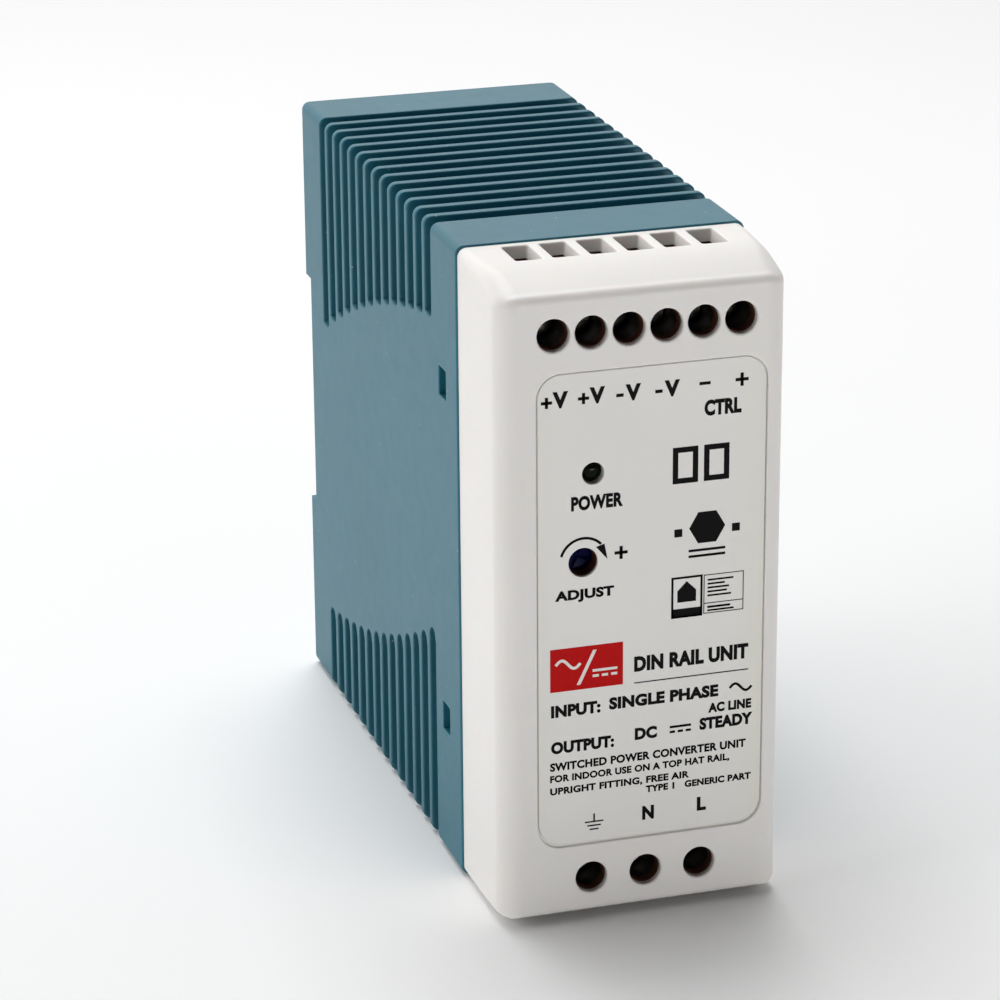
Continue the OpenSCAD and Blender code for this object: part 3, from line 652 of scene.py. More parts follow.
def case_skin():
    """The grooved outside of the case as one closed mesh."""
    columns = half_columns()
    rings = []
    for y, row_depth, inset, groove_y, ease in depth_rows():
        half = []
        for column in columns:
            outer, inner, normal, column_depth = column(groove_y, ease)
            share = min(row_depth, column_depth) / GROOVE_DEPTH
            half.append((
                outer[0] + (inner[0] - outer[0]) * share - normal[0] * inset,
                outer[1] + (inner[1] - outer[1]) * share - normal[1] * inset,
            ))
        mirrored = [(-x, z) for x, z in half[-2:0:-1]]
        rings.append(at_depth(half + mirrored, y))
    return loft("case_shell_skin", rings)


SLOT_Z0, SLOT_Z1 = 27.6, 63.4
SLOT_FLOOR = REAR - 3.3
HOOK_Y = SLOT_FLOOR + 1.2
CHANNEL_Y = SLOT_FLOOR + 0.5
TONGUE_X = HALF_W - WALL - 0.2


def case_hollow():
    """The board space and the cored corners behind it."""
    inner = HALF_W - WALL
    rear_wall = SLOT_FLOOR - WALL - 0.1
    core = REAR - WALL
    beside_latch = 11.4
    main = box_solid("hollow", (-inner, SEAM - 1, WALL), (inner, rear_wall, HEIGHT - WALL), 0.5)
    cores = [
        box_solid("core", (x0, rear_wall - 1, z0), (x1, core, z1), 0.5)
        for x0, x1, z0, z1 in ((-inner, inner, SLOT_Z1 + WALL, HEIGHT - WALL),
                               (beside_latch, inner, WALL, SLOT_Z0 - WALL),
                               (-inner, -beside_latch, WALL, SLOT_Z0 - WALL))
    ]
    return main, joined("cores", cores)


def rail_recess():
    """The rail's recess, its two mouth edges rounded."""
    r = 0.4
    outline = [(SLOT_FLOOR, SLOT_Z0), (REAR - r, SLOT_Z0)]
    outline += arc_points(REAR - r, SLOT_Z0 - r, r, 90, 12, 4)
    outline += [(REAR + 1, SLOT_Z0 - r), (REAR + 1, SLOT_Z1 + r)]
    outline += arc_points(REAR - r, SLOT_Z1 + r, r, -12, -90, 4)
    outline += [(SLOT_FLOOR, SLOT_Z1)]
    return prism("recess", outline, "x", -HALF_W - 1, HALF_W + 1)


def latch_channel():
    """Where the latch slides, with the grooves for its wings and the spring's pocket."""
    half, wing, r = 7.7, 9.3, 0.3
    wing_y = CHANNEL_Y + 1.2
    right = [(wing, CHANNEL_Y), (wing, wing_y), (half, wing_y), (half, REAR - r)]
    right += [(half + r - r * math.cos(t), REAR - r + r * math.sin(t)) for t in (0.4, 0.8, 1.2)]
    right += [(half + r, REAR + 1)]
    outline = right + [(-x, y) for x, y in reversed(right)]
    channel = prism("channel", outline, "z", -1, SLOT_Z0 + 0.1)
    pocket = box_solid("pocket", (-2.2, 45.3, 9.4), (2.2, CHANNEL_Y + 0.5, 22.1), 0.2)
    return channel, pocket


def snap_boxes(name, x0, x1, before, after, half_z, bevel=0.0):
    """Four boxes, one at each snap pocket, between two distances from the middle."""
    boxes = []
    for z in SNAP_Z:
        for s in (1, -1):
            low_x, high_x = sorted((s * x0, s * x1))
            boxes.append(box_solid(
                name, (low_x, SNAP_Y0 - before, z - half_z), (high_x, SNAP_Y1 + after, z + half_z), bevel
            ))
    return boxes


def snap_windows():
    """Pockets for the cap's tongues, slightly flared at the surface."""
    flare = 0.12
    mid_y, half_y = (SNAP_Y0 + SNAP_Y1) / 2, (SNAP_Y1 - SNAP_Y0) / 2
    parts = []
    for z in SNAP_Z:
        for s in (1, -1):
            rings = []
            for depth, grow in ((2.0, 0.0), (flare, 0.0), (0.0, flare), (-1.0, flare + 1.0)):
                outline = rounded_rect(mid_y, z, half_y + grow, SNAP_H / 2 + grow, 0.2 + grow, steps=3)
                rings.append([(s * (HALF_W - depth), y, v) for y, v in outline])
            parts.append(loft("snap", rings))
    return joined("snaps", parts)


def snap_bumps():
    """Pads inside the wall, behind the snap pockets."""
    inner = HALF_W - WALL
    return joined("bumps", snap_boxes("bump", inner - 1.5, inner + 0.05, 0.3, 0.5, 2.65))


def case_fittings():
    """The two rail hooks, the stop for the latch and the ribs that guide the boards."""
    top = HEIGHT - WALL
    parts = [
        box_solid("hook", (x, HOOK_Y, SLOT_Z1 - 2), (x + 10, REAR - 0.02, SLOT_Z1 + 0.6), 0.3, 3)
        for x in (5, -15)
    ]
    parts.append(box_solid("tab", (-2.3, CHANNEL_Y - 0.3, 7.5), (2.3, REAR - 0.4, 9.4), 0.25, 3))
    for low, high in ((WALL - 0.3, WALL + 2.4), (top - 2.4, top + 0.3)):
        parts += [box_solid("rib", (x, -20, low), (x + 1.3, 40, high), 0.15) for x in (-15.9, -12.8)]
        parts.append(box_solid("stop", (6, -29.7, low), (14, -24.8, high), 0.15))
    return joined("fittings", parts)


def build_case():
    case = case_skin()
    carve(case, *case_hollow())
    carve(case, snap_bumps(), operation="UNION")
    carve(case, rail_recess(), *latch_channel(), snap_windows())
    carve(case, case_fittings(), operation="UNION")
    finished(case, "case_shell_body", "shell_blue", "case", "case_shell")


# ---- Cap ----

CAP_HALF = CAP_HI.x
CAP_TOP = CAP_HI.z
CAP_MID = (CAP_HI.z + CAP_LO.z) / 2
CAP_SIDE_R = 3.2
CAP_NOSE_R = 1.3
CAP_FLAT_Y = FRONT + 9
CAP_DROP, CAP_CORNER_R = 1.9, 3.1
CAP_LOW_DROP, CAP_LOW_CORNER_R = 0.7, 1.7
CAP_EDGE_R = 1.25
CAVITY_X = HALF_W - 2.4
CAVITY_Y = FRONT + 2.4
CAVITY_Z = 2.8
OUT_Z, IN_Z = 82.4, 6.0
OUT_X = [0.4 + 5.08 * (i - 3.5) for i in range(1, 7)]
IN_X = [0.5 + 7.62 * (i - 2) for i in range(1, 4)]
LAMP_X, LAMP_Z, LAMP_HOLE_R = -6.94, 63.3, 1.5
TRIMMER_X, TRIMMER_Z, TRIMMER_HOLE_R = -8.29, 51.2, 2.0
PUNCHED = ((LAMP_X, LAMP_Z, LAMP_HOLE_R), (TRIMMER_X, TRIMMER_Z, TRIMMER_HOLE_R))
WELL_R = 2.2
WELLS = [(x, OUT_Z) for x in OUT_X] + [(x, IN_Z) for x in IN_X]
WINDOW_Y, WINDOW_HALF_Y, WINDOW_HALF_X = -36.65, 3.35, 1.8
WINDOW_WALL, WINDOW_DRAFT = 1.7, 0.32


def cap_section(y, inset, drop, corner):
    """The cap's outline at depth y, with the fall and the corner radius of its front end."""
    into_side = max(0.0, FRONT + CAP_SIDE_R - y)
    side_drop = CAP_SIDE_R - math.sqrt(max(0.0, CAP_SIDE_R ** 2 - into_side ** 2))
    nose_y = FRONT + CAP_NOSE_R
    share = min(1.0, max(0.0, (CAP_FLAT_Y - y) / (CAP_FLAT_Y - nose_y)))
    crown_drop = drop * (1 - math.cos(math.pi / 2 * share))
    into_nose = max(0.0, nose_y - y)
    crown_drop += CAP_NOSE_R - math.sqrt(max(0.0, CAP_NOSE_R ** 2 - into_nose ** 2))
    seam_share = min(1.0, max(0.0, (SEAM - y) / (SEAM - FRONT - CAP_SIDE_R)))
    reach = CAP_EDGE_R + (corner - CAP_EDGE_R) * seam_share ** 1.5
    return rounded_rect(
        0, CAP_MID, CAP_HALF - side_drop - inset, CAP_TOP - CAP_MID - crown_drop - inset,
        max(0.35, reach - side_drop * 0.9), max(0.35, reach - crown_drop * 0.75), steps=12,
    )


def cap_body():
    """The cap's outside, closed at the seam."""
    stations = [SEAM, SEAM - 0.06, SEAM - 0.2]
    insets = [0.2, 0.06, 0.0]
    stations += [SEAM - 2 - 1.7 * i for i in range(5)]
    stations += [FRONT + 7.4 - 0.9 * i for i in range(5)]
    stations += [FRONT + CAP_SIDE_R * (1 - math.sin(math.radians(a))) for a in range(4, 91, 6)]
    stations.append(FRONT)
    insets += [0.0] * (len(stations) - len(insets))
    rings = []
    for y, inset in zip(stations, insets):
        upper = cap_section(y, inset, CAP_DROP, CAP_CORNER_R)
        lower = cap_section(y, inset, CAP_LOW_DROP, CAP_LOW_CORNER_R)
        rings.append(at_depth([a if a[1] > CAP_MID else b for a, b in zip(upper, lower)], y))
    return loft("cap_body", rings)


def round_mouth_cutter(x, z, radius, mouth=0.32, through=4.5):
    """A round hole through the front wall with a softly rounded mouth."""
    profile = [(radius + mouth, FRONT - 1.0)]
    profile += [(radius + out, FRONT + inward) for out, inward in quarter(mouth, 5)]
    profile += [(radius, FRONT + through)]
    return moved(revolve("hole", profile), x, 0, z)


def window_cutter(x, top):
    """A wire window with a soft rim; its walls close in down to the terminal block's mouth."""
    rim = 0.3
    steps = [(1.0, rim)] + [(-inward, out) for out, inward in quarter(rim, 4)]
    steps += [(-WINDOW_WALL, -WINDOW_DRAFT), (-3.4, -WINDOW_DRAFT)]
    rings = []
    for up, grow in steps:
        z = CAP_TOP + up if top else CAP_LO.z - up
        outline = rounded_rect(x, WINDOW_Y, WINDOW_HALF_X + grow, WINDOW_HALF_Y + grow, 0.4 + grow * 0.5, steps=4)
        rings.append([(a, b, z) for a, b in outline])
    return loft("window", rings)


def label_outline(grow, below=0.0):
    """The label's outline, grown all round and by a further step below."""
    mid = (LABEL_LO + LABEL_HI) / 2
    half_x, half_z, corner = LABEL_HI.x - mid.x, LABEL_HI.z - mid.z, 3.2
    return rounded_rect(
        mid.x, mid.z - below / 2, half_x + grow, half_z + grow + below / 2, corner + grow, steps=10
    )


def recess_cutter():
    """The label's shallow recess with a soft rim."""
    gap, below, depth, rim = 0.16, 0.42, 0.5, 0.2
    steps = [(rim, -1)] + quarter(rim, 4) + [(0, depth)]
    return loft("recess", [at_depth(label_outline(gap + out, below), FRONT + inward) for out, inward in steps])


def snap_tongues():
    """Four windowed tongues that reach into the case."""
    thick, root = 1.3, SNAP_Y0 - SEAM + 5.5
    tongues = snap_boxes("tongue", TONGUE_X - thick, TONGUE_X, root, 2.1, 4.5, 0.25)
    for tongue, hole in zip(tongues, snap_boxes("gap", TONGUE_X - thick - 1, TONGUE_X + 1, 0.6, 0.7, 2.85)):
        carve(tongue, hole)
    return joined("tongues", tongues)


def build_cap():
    cap = cap_body()
    cavity = box_solid("hollow", (-CAVITY_X, CAVITY_Y, CAVITY_Z), (CAVITY_X, SEAM + 1, HEIGHT - CAVITY_Z), 0.6, 3)
    wells = [round_mouth_cutter(x, z, WELL_R) for x, z in WELLS]
    windows = [window_cutter(x, True) for x in OUT_X] + [window_cutter(x, False) for x in IN_X]
    holes = [moved(revolve("hole", [(r, FRONT - 1), (r, FRONT + 4)]), x, 0, z) for x, z, r in PUNCHED]
    carve(cap, cavity, recess_cutter(), joined("wells", wells), joined("windows", windows), joined("holes", holes))
    carve(cap, snap_tongues(), operation="UNION")
    finished(cap, "front_cap_moulding", "cap_white", "case", "front_cap")


def collar(radius, front, back, wall):
    """A tube that lines a round hole, its mouth rounded."""
    outer, inner = radius - 0.01, radius - 0.01 - wall
    section = [(outer, back), (outer, front + wall * 0.5), (outer - wall * 0.3, front),
               (inner + wall * 0.3, front), (inner, front + wall * 0.5), (inner, back)]
    return loft("collar", turned(section, 40), closed=True)


def window_liner(x, low, high):
    """A thin rectangular tube that lines a wire window."""
    gap, wall = WINDOW_DRAFT + 0.02, 0.12
    half_x, half_y = WINDOW_HALF_X - gap, WINDOW_HALF_Y - gap
    rings = []
    for sx, sy in ((1, -1), (1, 1), (-1, 1), (-1, -1)):
        outer = (x + sx * half_x, WINDOW_Y + sy * half_y)
        inner = (x + sx * (half_x - wall), WINDOW_Y + sy * (half_y - wall))
        rings.append([(*outer, low), (*outer, high), (*inner, high), (*inner, low)])
    return loft("liner", rings, closed=True)


def build_collars():
    """The terminal blocks' dark mouths inside the cap's holes and windows, and the trimmer's collar."""
    gap = 0.02
    parts = [moved(collar(WELL_R, FRONT + 0.95, CAVITY_Y - gap, 0.16), x, 0, z) for x, z in WELLS]
    parts += [window_liner(x, HEIGHT - CAVITY_Z + gap, CAP_TOP - WINDOW_WALL) for x in OUT_X]
    parts += [window_liner(x, CAP_LO.z + WINDOW_WALL, CAVITY_Z - gap) for x in IN_X]
    parts.append(moved(collar(TRIMMER_HOLE_R, FRONT + 0.55, CAVITY_Y - gap, 0.12), TRIMMER_X, 0, TRIMMER_Z))
    finished(joined("collars", parts), "terminal_collars", "black_plastic", "case", material=COLLAR_BROWN)


# ---- Label and print ----

LABEL_BACK, LABEL_FACE = LABEL_HI.y, LABEL_LO.y
PRINT_T, PRINT_SINK = 0.02, 0.005


def build_label():
    """The film with a rounded rim and the two punched holes."""
    rim, hole_rim = 0.12, 0.1
    rings = [at_depth(label_outline(0), LABEL_BACK)]
    rings += [
        at_depth(label_outline(-rim * (1 - math.cos(t))), LABEL_FACE + rim - rim * math.sin(t))
        for t in quarter_turns(3)
    ]
    label = loft("label", rings)
    for x, z, r in PUNCHED:
        profile = [(r + hole_rim, LABEL_FACE - 1)]
        profile += [(r + out, LABEL_FACE + inward) for out, inward in quarter(hole_rim, 3)]
        profile += [(r, LABEL_BACK + 1)]
        carve(label, moved(revolve("punch", profile), x, 0, z))
    finished(label, "front_label_film", "label_film", "case", "front_label", angle=12.0)


def flat_print(name, outline, level=0):
    """An inked shape from an XZ outline: on the label at level 0, on the ink below it at level 1."""
    face = LABEL_FACE - PRINT_T * (level + 1)
    return prism(name, outline, "y", face, LABEL_FACE - PRINT_T * level + PRINT_SINK)


def bars(*boxes, level=0):
    """Inked rectangles, each from its left, lower, right and upper side."""
    return [flat_print("bar", [(x0, z0), (x1, z0), (x1, z1), (x0, z1)], level) for x0, z0, x1, z1 in boxes]


def frame_print(x0, z0, x1, z1, width):
    """The four sides of a box."""
    return bars(
        (x0, z0, x1, z0 + width), (x0, z1 - width, x1, z1),
        (x0, z0 + width, x0 + width, z1 - width), (x1 - width, z0 + width, x1, z1 - width),
    )


def lettering(text, x0, x1, z0, z1, bold=0.056):
    """Generic capitals in Blender's built-in face, fitted to a box on the label."""
    curve = bpy.data.curves.new("text", "FONT")
    curve.body = text
    curve.offset = bold
    curve.space_character = 1.06
    curve.resolution_u = 4
    curve.extrude = 0.5
    obj = placed("text", curve)
    bpy.context.view_layer.update()
    mesh = bpy.data.meshes.new_from_object(obj)
    bpy.data.objects.remove(obj)
    xs, ys = [v.co.x for v in mesh.vertices], [v.co.y for v in mesh.vertices]
    depth = PRINT_T + PRINT_SINK
    middle = LABEL_FACE - PRINT_T + depth / 2
    across, up = (x1 - x0) / (max(xs) - min(xs)), (z1 - z0) / (max(ys) - min(ys))
    for vertex in mesh.vertices:
        x, y, h = vertex.co
        vertex.co = (
            (x0 + (x - min(xs)) * across) * MM, (middle - h * depth) * MM, (z0 + (y - min(ys)) * up) * MM
        )
    return placed("text", mesh)


def earth_symbol(x, z):
    """Protective earth: a stem over three bars."""
    stem = (x - 0.11, z, x + 0.11, z + 1.15)
    steps = ((1.3, 0.0), (0.95, 0.55), (0.62, 1.1))
    return bars(stem, *[(x - half, z - drop - 0.1, x + half, z - drop + 0.1) for half, drop in steps])


def wave(x0, x1, z, height, width, level=0):
    """One period of a sine wave as a ribbon."""
    steps = 24
    top, bottom = [], []
    for i in range(steps + 1):
        t = i / steps
        x = x0 + (x1 - x0) * t
        v = z + height * math.sin(2 * math.pi * t)
        slope = height * 2 * math.pi / (x1 - x0) * math.cos(2 * math.pi * t)
        nx, nz = -slope, 1.0
        length = math.hypot(nx, nz)
        top.append((x + nx / length * width / 2, v + nz / length * width / 2))
        bottom.append((x - nx / length * width / 2, v - nz / length * width / 2))
    return flat_print("wave", bottom + top[::-1], level)


def direct_current(x0, x1, z, width, level=0):
    """A solid bar over three short ones."""
    dash = (x1 - x0) * 0.25
    step = (x1 - x0 - dash) / 2
    dashes = [(x0 + step * i, z - width, x0 + step * i + dash, z) for i in range(3)]
    return bars((x0, z + width * 1.1, x1, z + width * 2.1), *dashes, level=level)


def terminal_marks():
    """The signs at the terminals, plus and minus drawn as bars."""
    parts = []
    for x, z, positive in ((-12.09, 73.67, True), (-7.12, 73.82, True), (-2.26, 73.73, False), (3.03, 73.72, False)):
        parts.append(lettering("V", x - 0.35, x + 1.75, z - 1.05, z + 1.2, 0.055))
        if positive:
            parts += bars((x - 1.9, z - 0.4, x - 0.4, z + 0.02), (x - 1.36, z - 0.94, x - 0.94, z + 0.56))
        else:
            parts += bars((x - 1.6, z - 0.4, x - 0.6, z + 0.05))
    parts += bars((7.45, 73.8, 8.98, 74.22), (12.4, 73.82, 14.2, 74.26), (13.08, 73.14, 13.52, 74.94))
    parts.append(lettering("CTRL", 8.18, 13.28, 69.5, 71.7))
    parts += earth_symbol(IN_X[0] + 0.35, 14.1)
    parts.append(lettering("N", 0.0, 1.66, 13.35, 15.37))
    parts.append(lettering("L", 7.75, 9.05, 13.6, 15.62, 0.05))
    return parts


def lamp_and_trimmer_marks():
    """The captions of lamp and trimmer, and the trimmer's arrow and plus."""
    parts = [lettering("POWER", -9.95, -2.88, 58.4, 60.4, 0.05)]
    mid_x, mid_z, r, half = TRIMMER_X + 0.05, 51.35, 3.2, 0.18
    arc = arc_points(mid_x, mid_z, r + half, 42, 163, 30) + arc_points(mid_x, mid_z, r - half, 163, 42, 30)
    parts.append(flat_print("ring", arc))
    parts.append(flat_print("arrow", [(-4.98, 51.3), (-5.4, 53.5), (-6.55, 53.15)]))
    parts += bars((-4.02, 51.78, -2.22, 52.22), (-3.34, 51.1, -2.9, 52.9))
    parts.append(lettering("ADJUST", -12.15, -4.07, 45.75, 47.55, 0.05))
    return parts


def approval_marks():
    """Plain shapes where a real unit carries its approval marks."""
    parts = frame_print(3.9, 60.6, 7.4, 65.6, 0.75) + frame_print(8.2, 60.6, 11.7, 65.6, 0.75)
    hex_x, hex_z, hex_r = 8.75, 54.2, 2.5
    parts.append(flat_print("hexagon", arc_points(hex_x, hex_z, hex_r, 0, 300, 5)))
    for mid in (hex_x - 4.0, hex_x + 4.0):
        parts += bars((mid - 0.55, 53.2, mid + 0.55, 54.3))
    parts += bars((6.2, 50.9, 11.3, 51.25), (6.2, 50.9 - 0.8, 11.3, 51.25 - 0.8))
    parts += frame_print(3.85, 41.8, 8.2, 47.6, 0.3)
    parts += bars((3.85, 41.8, 8.2, 43.1))
    parts += frame_print(8.35, 42.0, 13.95, 47.5, 0.12)
    parts.append(flat_print("house", [(4.7, 44.0), (7.3, 44.0), (7.3, 45.6), (6.0, 46.9), (4.7, 45.6)]))
    parts += bars(*[(8.9, 46.6 - i * 0.55, 8.9 + w, 46.85 - i * 0.55) for i, w in enumerate((3.6, 2.4, 3.0, 2.7, 3.3))])
    return parts + bars((8.35, 43.4, 13.95, 43.52), (8.9, 42.75, 12.1, 43.05), (8.9, 42.3, 12.6, 42.55))


def rating_marks():
    """Heading, input and output lines in generic words."""
    return [
        lettering("DIN RAIL UNIT", -1.25, 14.75, 34.9, 37.1),
        *bars((-1.24, 33.27, 14.78, 33.43)),
        lettering("INPUT:", -12.75, -5.9, 29.75, 31.5),
        lettering("SINGLE PHASE", -4.7, 10.6, 29.95, 31.7),
        wave(12.2, 15.3, 30.9, 0.55, 0.36),
        lettering("AC LINE", 9.2, 15.3, 27.7, 29.1),
        lettering("OUTPUT:", -12.75, -4.0, 24.55, 26.3),
        lettering("DC", -1.1, 2.0, 25.1, 26.85),
        lettering("STEADY", 8.0, 15.5, 25.35, 27.1),
        *direct_current(3.8, 6.8, 25.8, 0.34),
    ]


def small_print():
    """Small lines of generic words."""
    return [
        lettering("SWITCHED POWER CONVERTER UNIT", -12.9, 14.6, 22.1, 23.3, 0.044),
        lettering("FOR INDOOR USE ON A TOP HAT RAIL,", -12.9, 12.3, 20.3, 21.5, 0.044),
        lettering("UPRIGHT FITTING, FREE AIR", -12.9, 6.6, 18.5, 19.7, 0.044),
        lettering("TYPE 1   GENERIC PART", 0.5, 15.4, 17.3, 18.3, 0.05),
    ]


def badge_marks():
    """The symbol for conversion from alternating to direct current, on the red field."""
    slash = flat_print("slash", [(-9.2, 34.1), (-8.7, 34.1), (-6.45, 38.8), (-6.95, 38.8)], 1)
    return [slash, wave(-12.1, -8.7, 37.15, 0.62, 0.4, 1)] + direct_current(-7.0, -3.6, 35.3, 0.36, 1)


def build_print():
    black = terminal_marks() + lamp_and_trimmer_marks() + approval_marks() + rating_marks() + small_print()
    red = bars((-12.85, 33.4, -2.8, 39.45))
    for name, parts, material in (
        ("label_print_black", black, INK_BLACK),
        ("label_print_red", red, INK_RED),
        ("label_print_white", badge_marks(), INK_WHITE),
    ):
        dress(joined(name, parts), "label_film", "case", material=material)


# ---- Screws, lamp, trimmer, spring and latch ----

HEAD_Y0, HEAD_Y1 = -43.7, -42.1
SHANK_END = -37.02


def screw_mesh(name):
    """A domed pan head with a slot and a shorter cross slot, and a threaded shank, on the Y axis."""
    r, dome, edge = 1.95, 0.28, 0.22
    profile = [(0.001, HEAD_Y0)]
    profile += [(r * 0.88 * i / 5, HEAD_Y0 + dome * (i / 5) ** 2) for i in range(1, 6)]
    profile += [(r - edge + edge * math.sin(t), HEAD_Y0 + dome + edge * 1.3 - edge * math.cos(t))
                for t in (0.5, 1.0, math.pi / 2)]
    profile += [(r, HEAD_Y1 - 0.12), (r - 0.12, HEAD_Y1), (1.25, HEAD_Y1)]
    root, crest, pitch = 1.16, 1.38, 0.5
    y = HEAD_Y1 + 0.3
    while y < SHANK_END - 0.7:
        profile += [(root, y), (root, y + 0.1), (crest, y + pitch * 0.5), (crest, y + pitch * 0.6)]
        y += pitch
    profile += [(root, y), (root - 0.25, SHANK_END), (0.001, SHANK_END)]
    screw = revolve(name, profile, 32)
    slot = box_solid("slot", (-3, HEAD_Y0 - 1, -0.33), (3, HEAD_Y0 + 0.8, 0.33))
    cross = prism("cross", [(-1.3, HEAD_Y0 - 1), (1.3, HEAD_Y0 - 1), (1.15, HEAD_Y0 + 0.75), (-1.15, HEAD_Y0 + 0.75)],
                  "z", -0.33, 0.33)
    cross.data.transform(Matrix.Rotation(math.radians(90), 4, "Y"))
    carve(screw, slot, cross)
    finish_shading(screw, 28)
    return screw


def build_screws():
    """The nine clamp screws, each turned a little differently."""
    nodes = [f"output_screw_{i + 1}" for i in range(len(OUT_X))] + [f"input_screw_{i + 1}" for i in range(len(IN_X))]
    rng = random.Random(3)
    template = screw_mesh("screw_template")
    for node, (x, z) in zip(nodes, WELLS):
        screw = placed(node + "_turned", template.data.copy())
        screw.data.transform(Matrix.Rotation(rng.uniform(-0.9, 0.9), 4, "Y"))
        moved(screw, x, 0, z)
        weigh_normals(screw)
        dress(screw, "screw_steel", node, node)
    bpy.data.objects.remove(template)


def build_lamp():
    """A domed lens on a flange, and its white spacer."""
    tip, flange, foot = -49.4, -42.2, -31.4
    r, dome = 1.45, 0.85
    profile = [(0.001, tip)]
    profile += [(r * math.sin(t), tip + dome * (1 - math.cos(t))) for t in quarter_turns(8)[1:]]
    profile += [(r, flange - 0.9), (r + 0.24, flange - 0.85), (r + 0.25, flange - 0.05), (r + 0.2, flange),
                (0.001, flange)]
    lens = moved(revolve("lens", profile, 40), LAMP_X, 0, LAMP_Z)
    finished(lens, "status_lamp_lens", "lamp_green", "case", "status_lamp", angle=40)
    spacer_profile = [(0.45, flange + 0.02), (1.4, flange + 0.02), (1.5, flange + 0.12), (1.5, foot - 0.14),
                      (1.4, foot - 0.04), (0.45, foot - 0.04)]
    spacer = moved(revolve("spacer", spacer_profile, 32), LAMP_X, 0, LAMP_Z)
    finished(spacer, "status_lamp_spacer", "cap_white", "case", angle=40)


def build_trimmer_rotor():
    """The trimmer's adjusting disc: dished, with a cross slot, on a short hub."""
    face, back, hub_end = -47.0, -45.9, -43.1
    r = 2.08
    profile = [(0.001, face + 0.16), (1.2, face + 0.14), (1.55, face + 0.04), (r - 0.15, face), (r - 0.04, face + 0.04),
               (r, face + 0.15), (r, back - 0.1), (r - 0.1, back), (0.97, back), (0.97, hub_end - 0.1),
               (0.87, hub_end), (0.001, hub_end)]
    rotor = revolve("rotor", profile, 40)
    for x, z in ((1.6, 0.26), (0.26, 1.6)):
        carve(rotor, box_solid("slot", (-x, face - 1, -z), (x, face + 0.62, z)))
    rotor.data.transform(Matrix.Rotation(math.radians(24), 4, "Y"))
    moved(rotor, TRIMMER_X, 0, TRIMMER_Z)
    finished(rotor, "trimmer_rotor_disc", "trimmer_blue", "trimmer", "trimmer_rotor", angle=30)


def build_spring():
    """The latch's return spring: round wire with closed ends."""
    low, high = node_box("latch_spring")
    mid_x, mid_y = (low.x + high.x) / 2, (low.y + high.y) / 2
    wire, turns, steps, sides = 0.28, 6.0, 28, 10
    radius = (high.x - low.x) / 2 - wire - 0.02
    z0, rise = low.z + wire + 0.02, high.z - low.z - 2 * wire - 0.04
    rings = []
    total = int(turns * steps)
    for i in range(total + 1):
        share = i / total
        lift = share - 0.35 / (2 * math.pi * turns) * math.sin(2 * math.pi * share)
        a = 2 * math.pi * turns * share
        out = Vector((math.cos(a), math.sin(a), 0))
        centre = Vector((mid_x, mid_y, z0 + rise * lift)) + out * radius
        ring = []
        for j in range(sides):
            b = 2 * math.pi * j / sides
            ring.append(tuple(centre + out * wire * math.cos(b) + Vector((0, 0, wire * math.sin(b)))))
        rings.append(ring)
    spring = loft("latch_spring_wire", rings)
    finish_shading(spring, 50)
    bake_modifiers(spring)
    dress(spring, "spring_steel", "case", "latch_spring")
    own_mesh(spring)


def build_latch():
    """The sliding foot: bevelled nose, side wings, spring window, driver slot and grip ribs."""
    low, high = node_box("rail_latch")
    half, wing = 7.5, high.x
    y0, y1 = low.y, high.y
    nose_z, shelf_z = high.z, SLOT_Z0
    r = 0.25
    side = [(y0, low.z + r), (y0 + r, low.z), (y1 - r, low.z), (y1, low.z + r), (y1, nose_z - 1.25),
            (y1 - 0.15, nose_z - 0.9), (y1 - 0.75, nose_z - 0.12), (y1 - 1.0, nose_z), (HOOK_Y + 0.12, nose_z),
            (HOOK_Y, nose_z - 0.12), (HOOK_Y, shelf_z), (y0 + 0.12, shelf_z), (y0, shelf_z - 0.12)]
    latch = prism("latch", side, "x", -half, half)
    wings = box_solid("wings", (-wing, y0, 4.0), (wing, y0 + 0.8, 24.0), 0.18)
    carve(latch, wings, operation="UNION")
    mid_y, depth, rim = (y0 + y1) / 2, (y1 - y0) / 2, 0.2
    steps = ((-depth - 1, rim), (-depth, rim), (-depth + rim, 0.0), (depth - rim, 0.0), (depth, rim), (depth + 1, rim))
    rings = [
        at_depth(rounded_rect(0, 14.5, 2.6 + grow, 7.5 + grow, 0.4, steps=3), mid_y + step) for step, grow in steps
    ]
    window = loft("window", rings)
    slot = loft("slot", [at_depth(rounded_rect(0, 2.6, 2.6, 0.8, 0.25, steps=3), y) for y in (y0 - 1, y1 + 1)])
    grips = [
        box_solid("grip", (x, y1 - 0.35, z), (x + 3.0, y1 + 1, z + 0.7))
        for x in (-6.4, 3.4) for z in (5.2, 6.8, 8.4, 10.0)
    ]
    carve(latch, window, slot, joined("grips", grips))
    finished(latch, "rail_latch_foot", "black_plastic", "latch", "rail_latch")


# ---- CAD nodes that stay ----

def soften(obj, width):
    """Welds a CAD mesh's split corners and rounds its edges, as modifiers only."""
    weld = obj.modifiers.new("weld", "WELD")
    weld.merge_threshold = CAD_WELD_M
    bevel = obj.modifiers.new("bevel", "BEVEL")
    bevel.width = width * MM
    bevel.segments = 2
    bevel.limit_method = "ANGLE"
    bevel.angle_limit = math.radians(40)
    bevel.use_clamp_overlap = True
    weigh_normals(obj)


USUAL_BEVEL = 0.12
BEVELS = {"output_contact_bars": 0.1, "input_contact_bars": 0.1, "choke_windings": 0, "choke_core": 0,
          "controller_chip": 0.08, "optocoupler": 0.08, "mains_capacitor": 0.6, "trimmer_body": 0.15,
          "main_board": 0.1, "terminal_board": 0.1, "board_link_header": 0.08, "bridge_rectifier": 0.25}


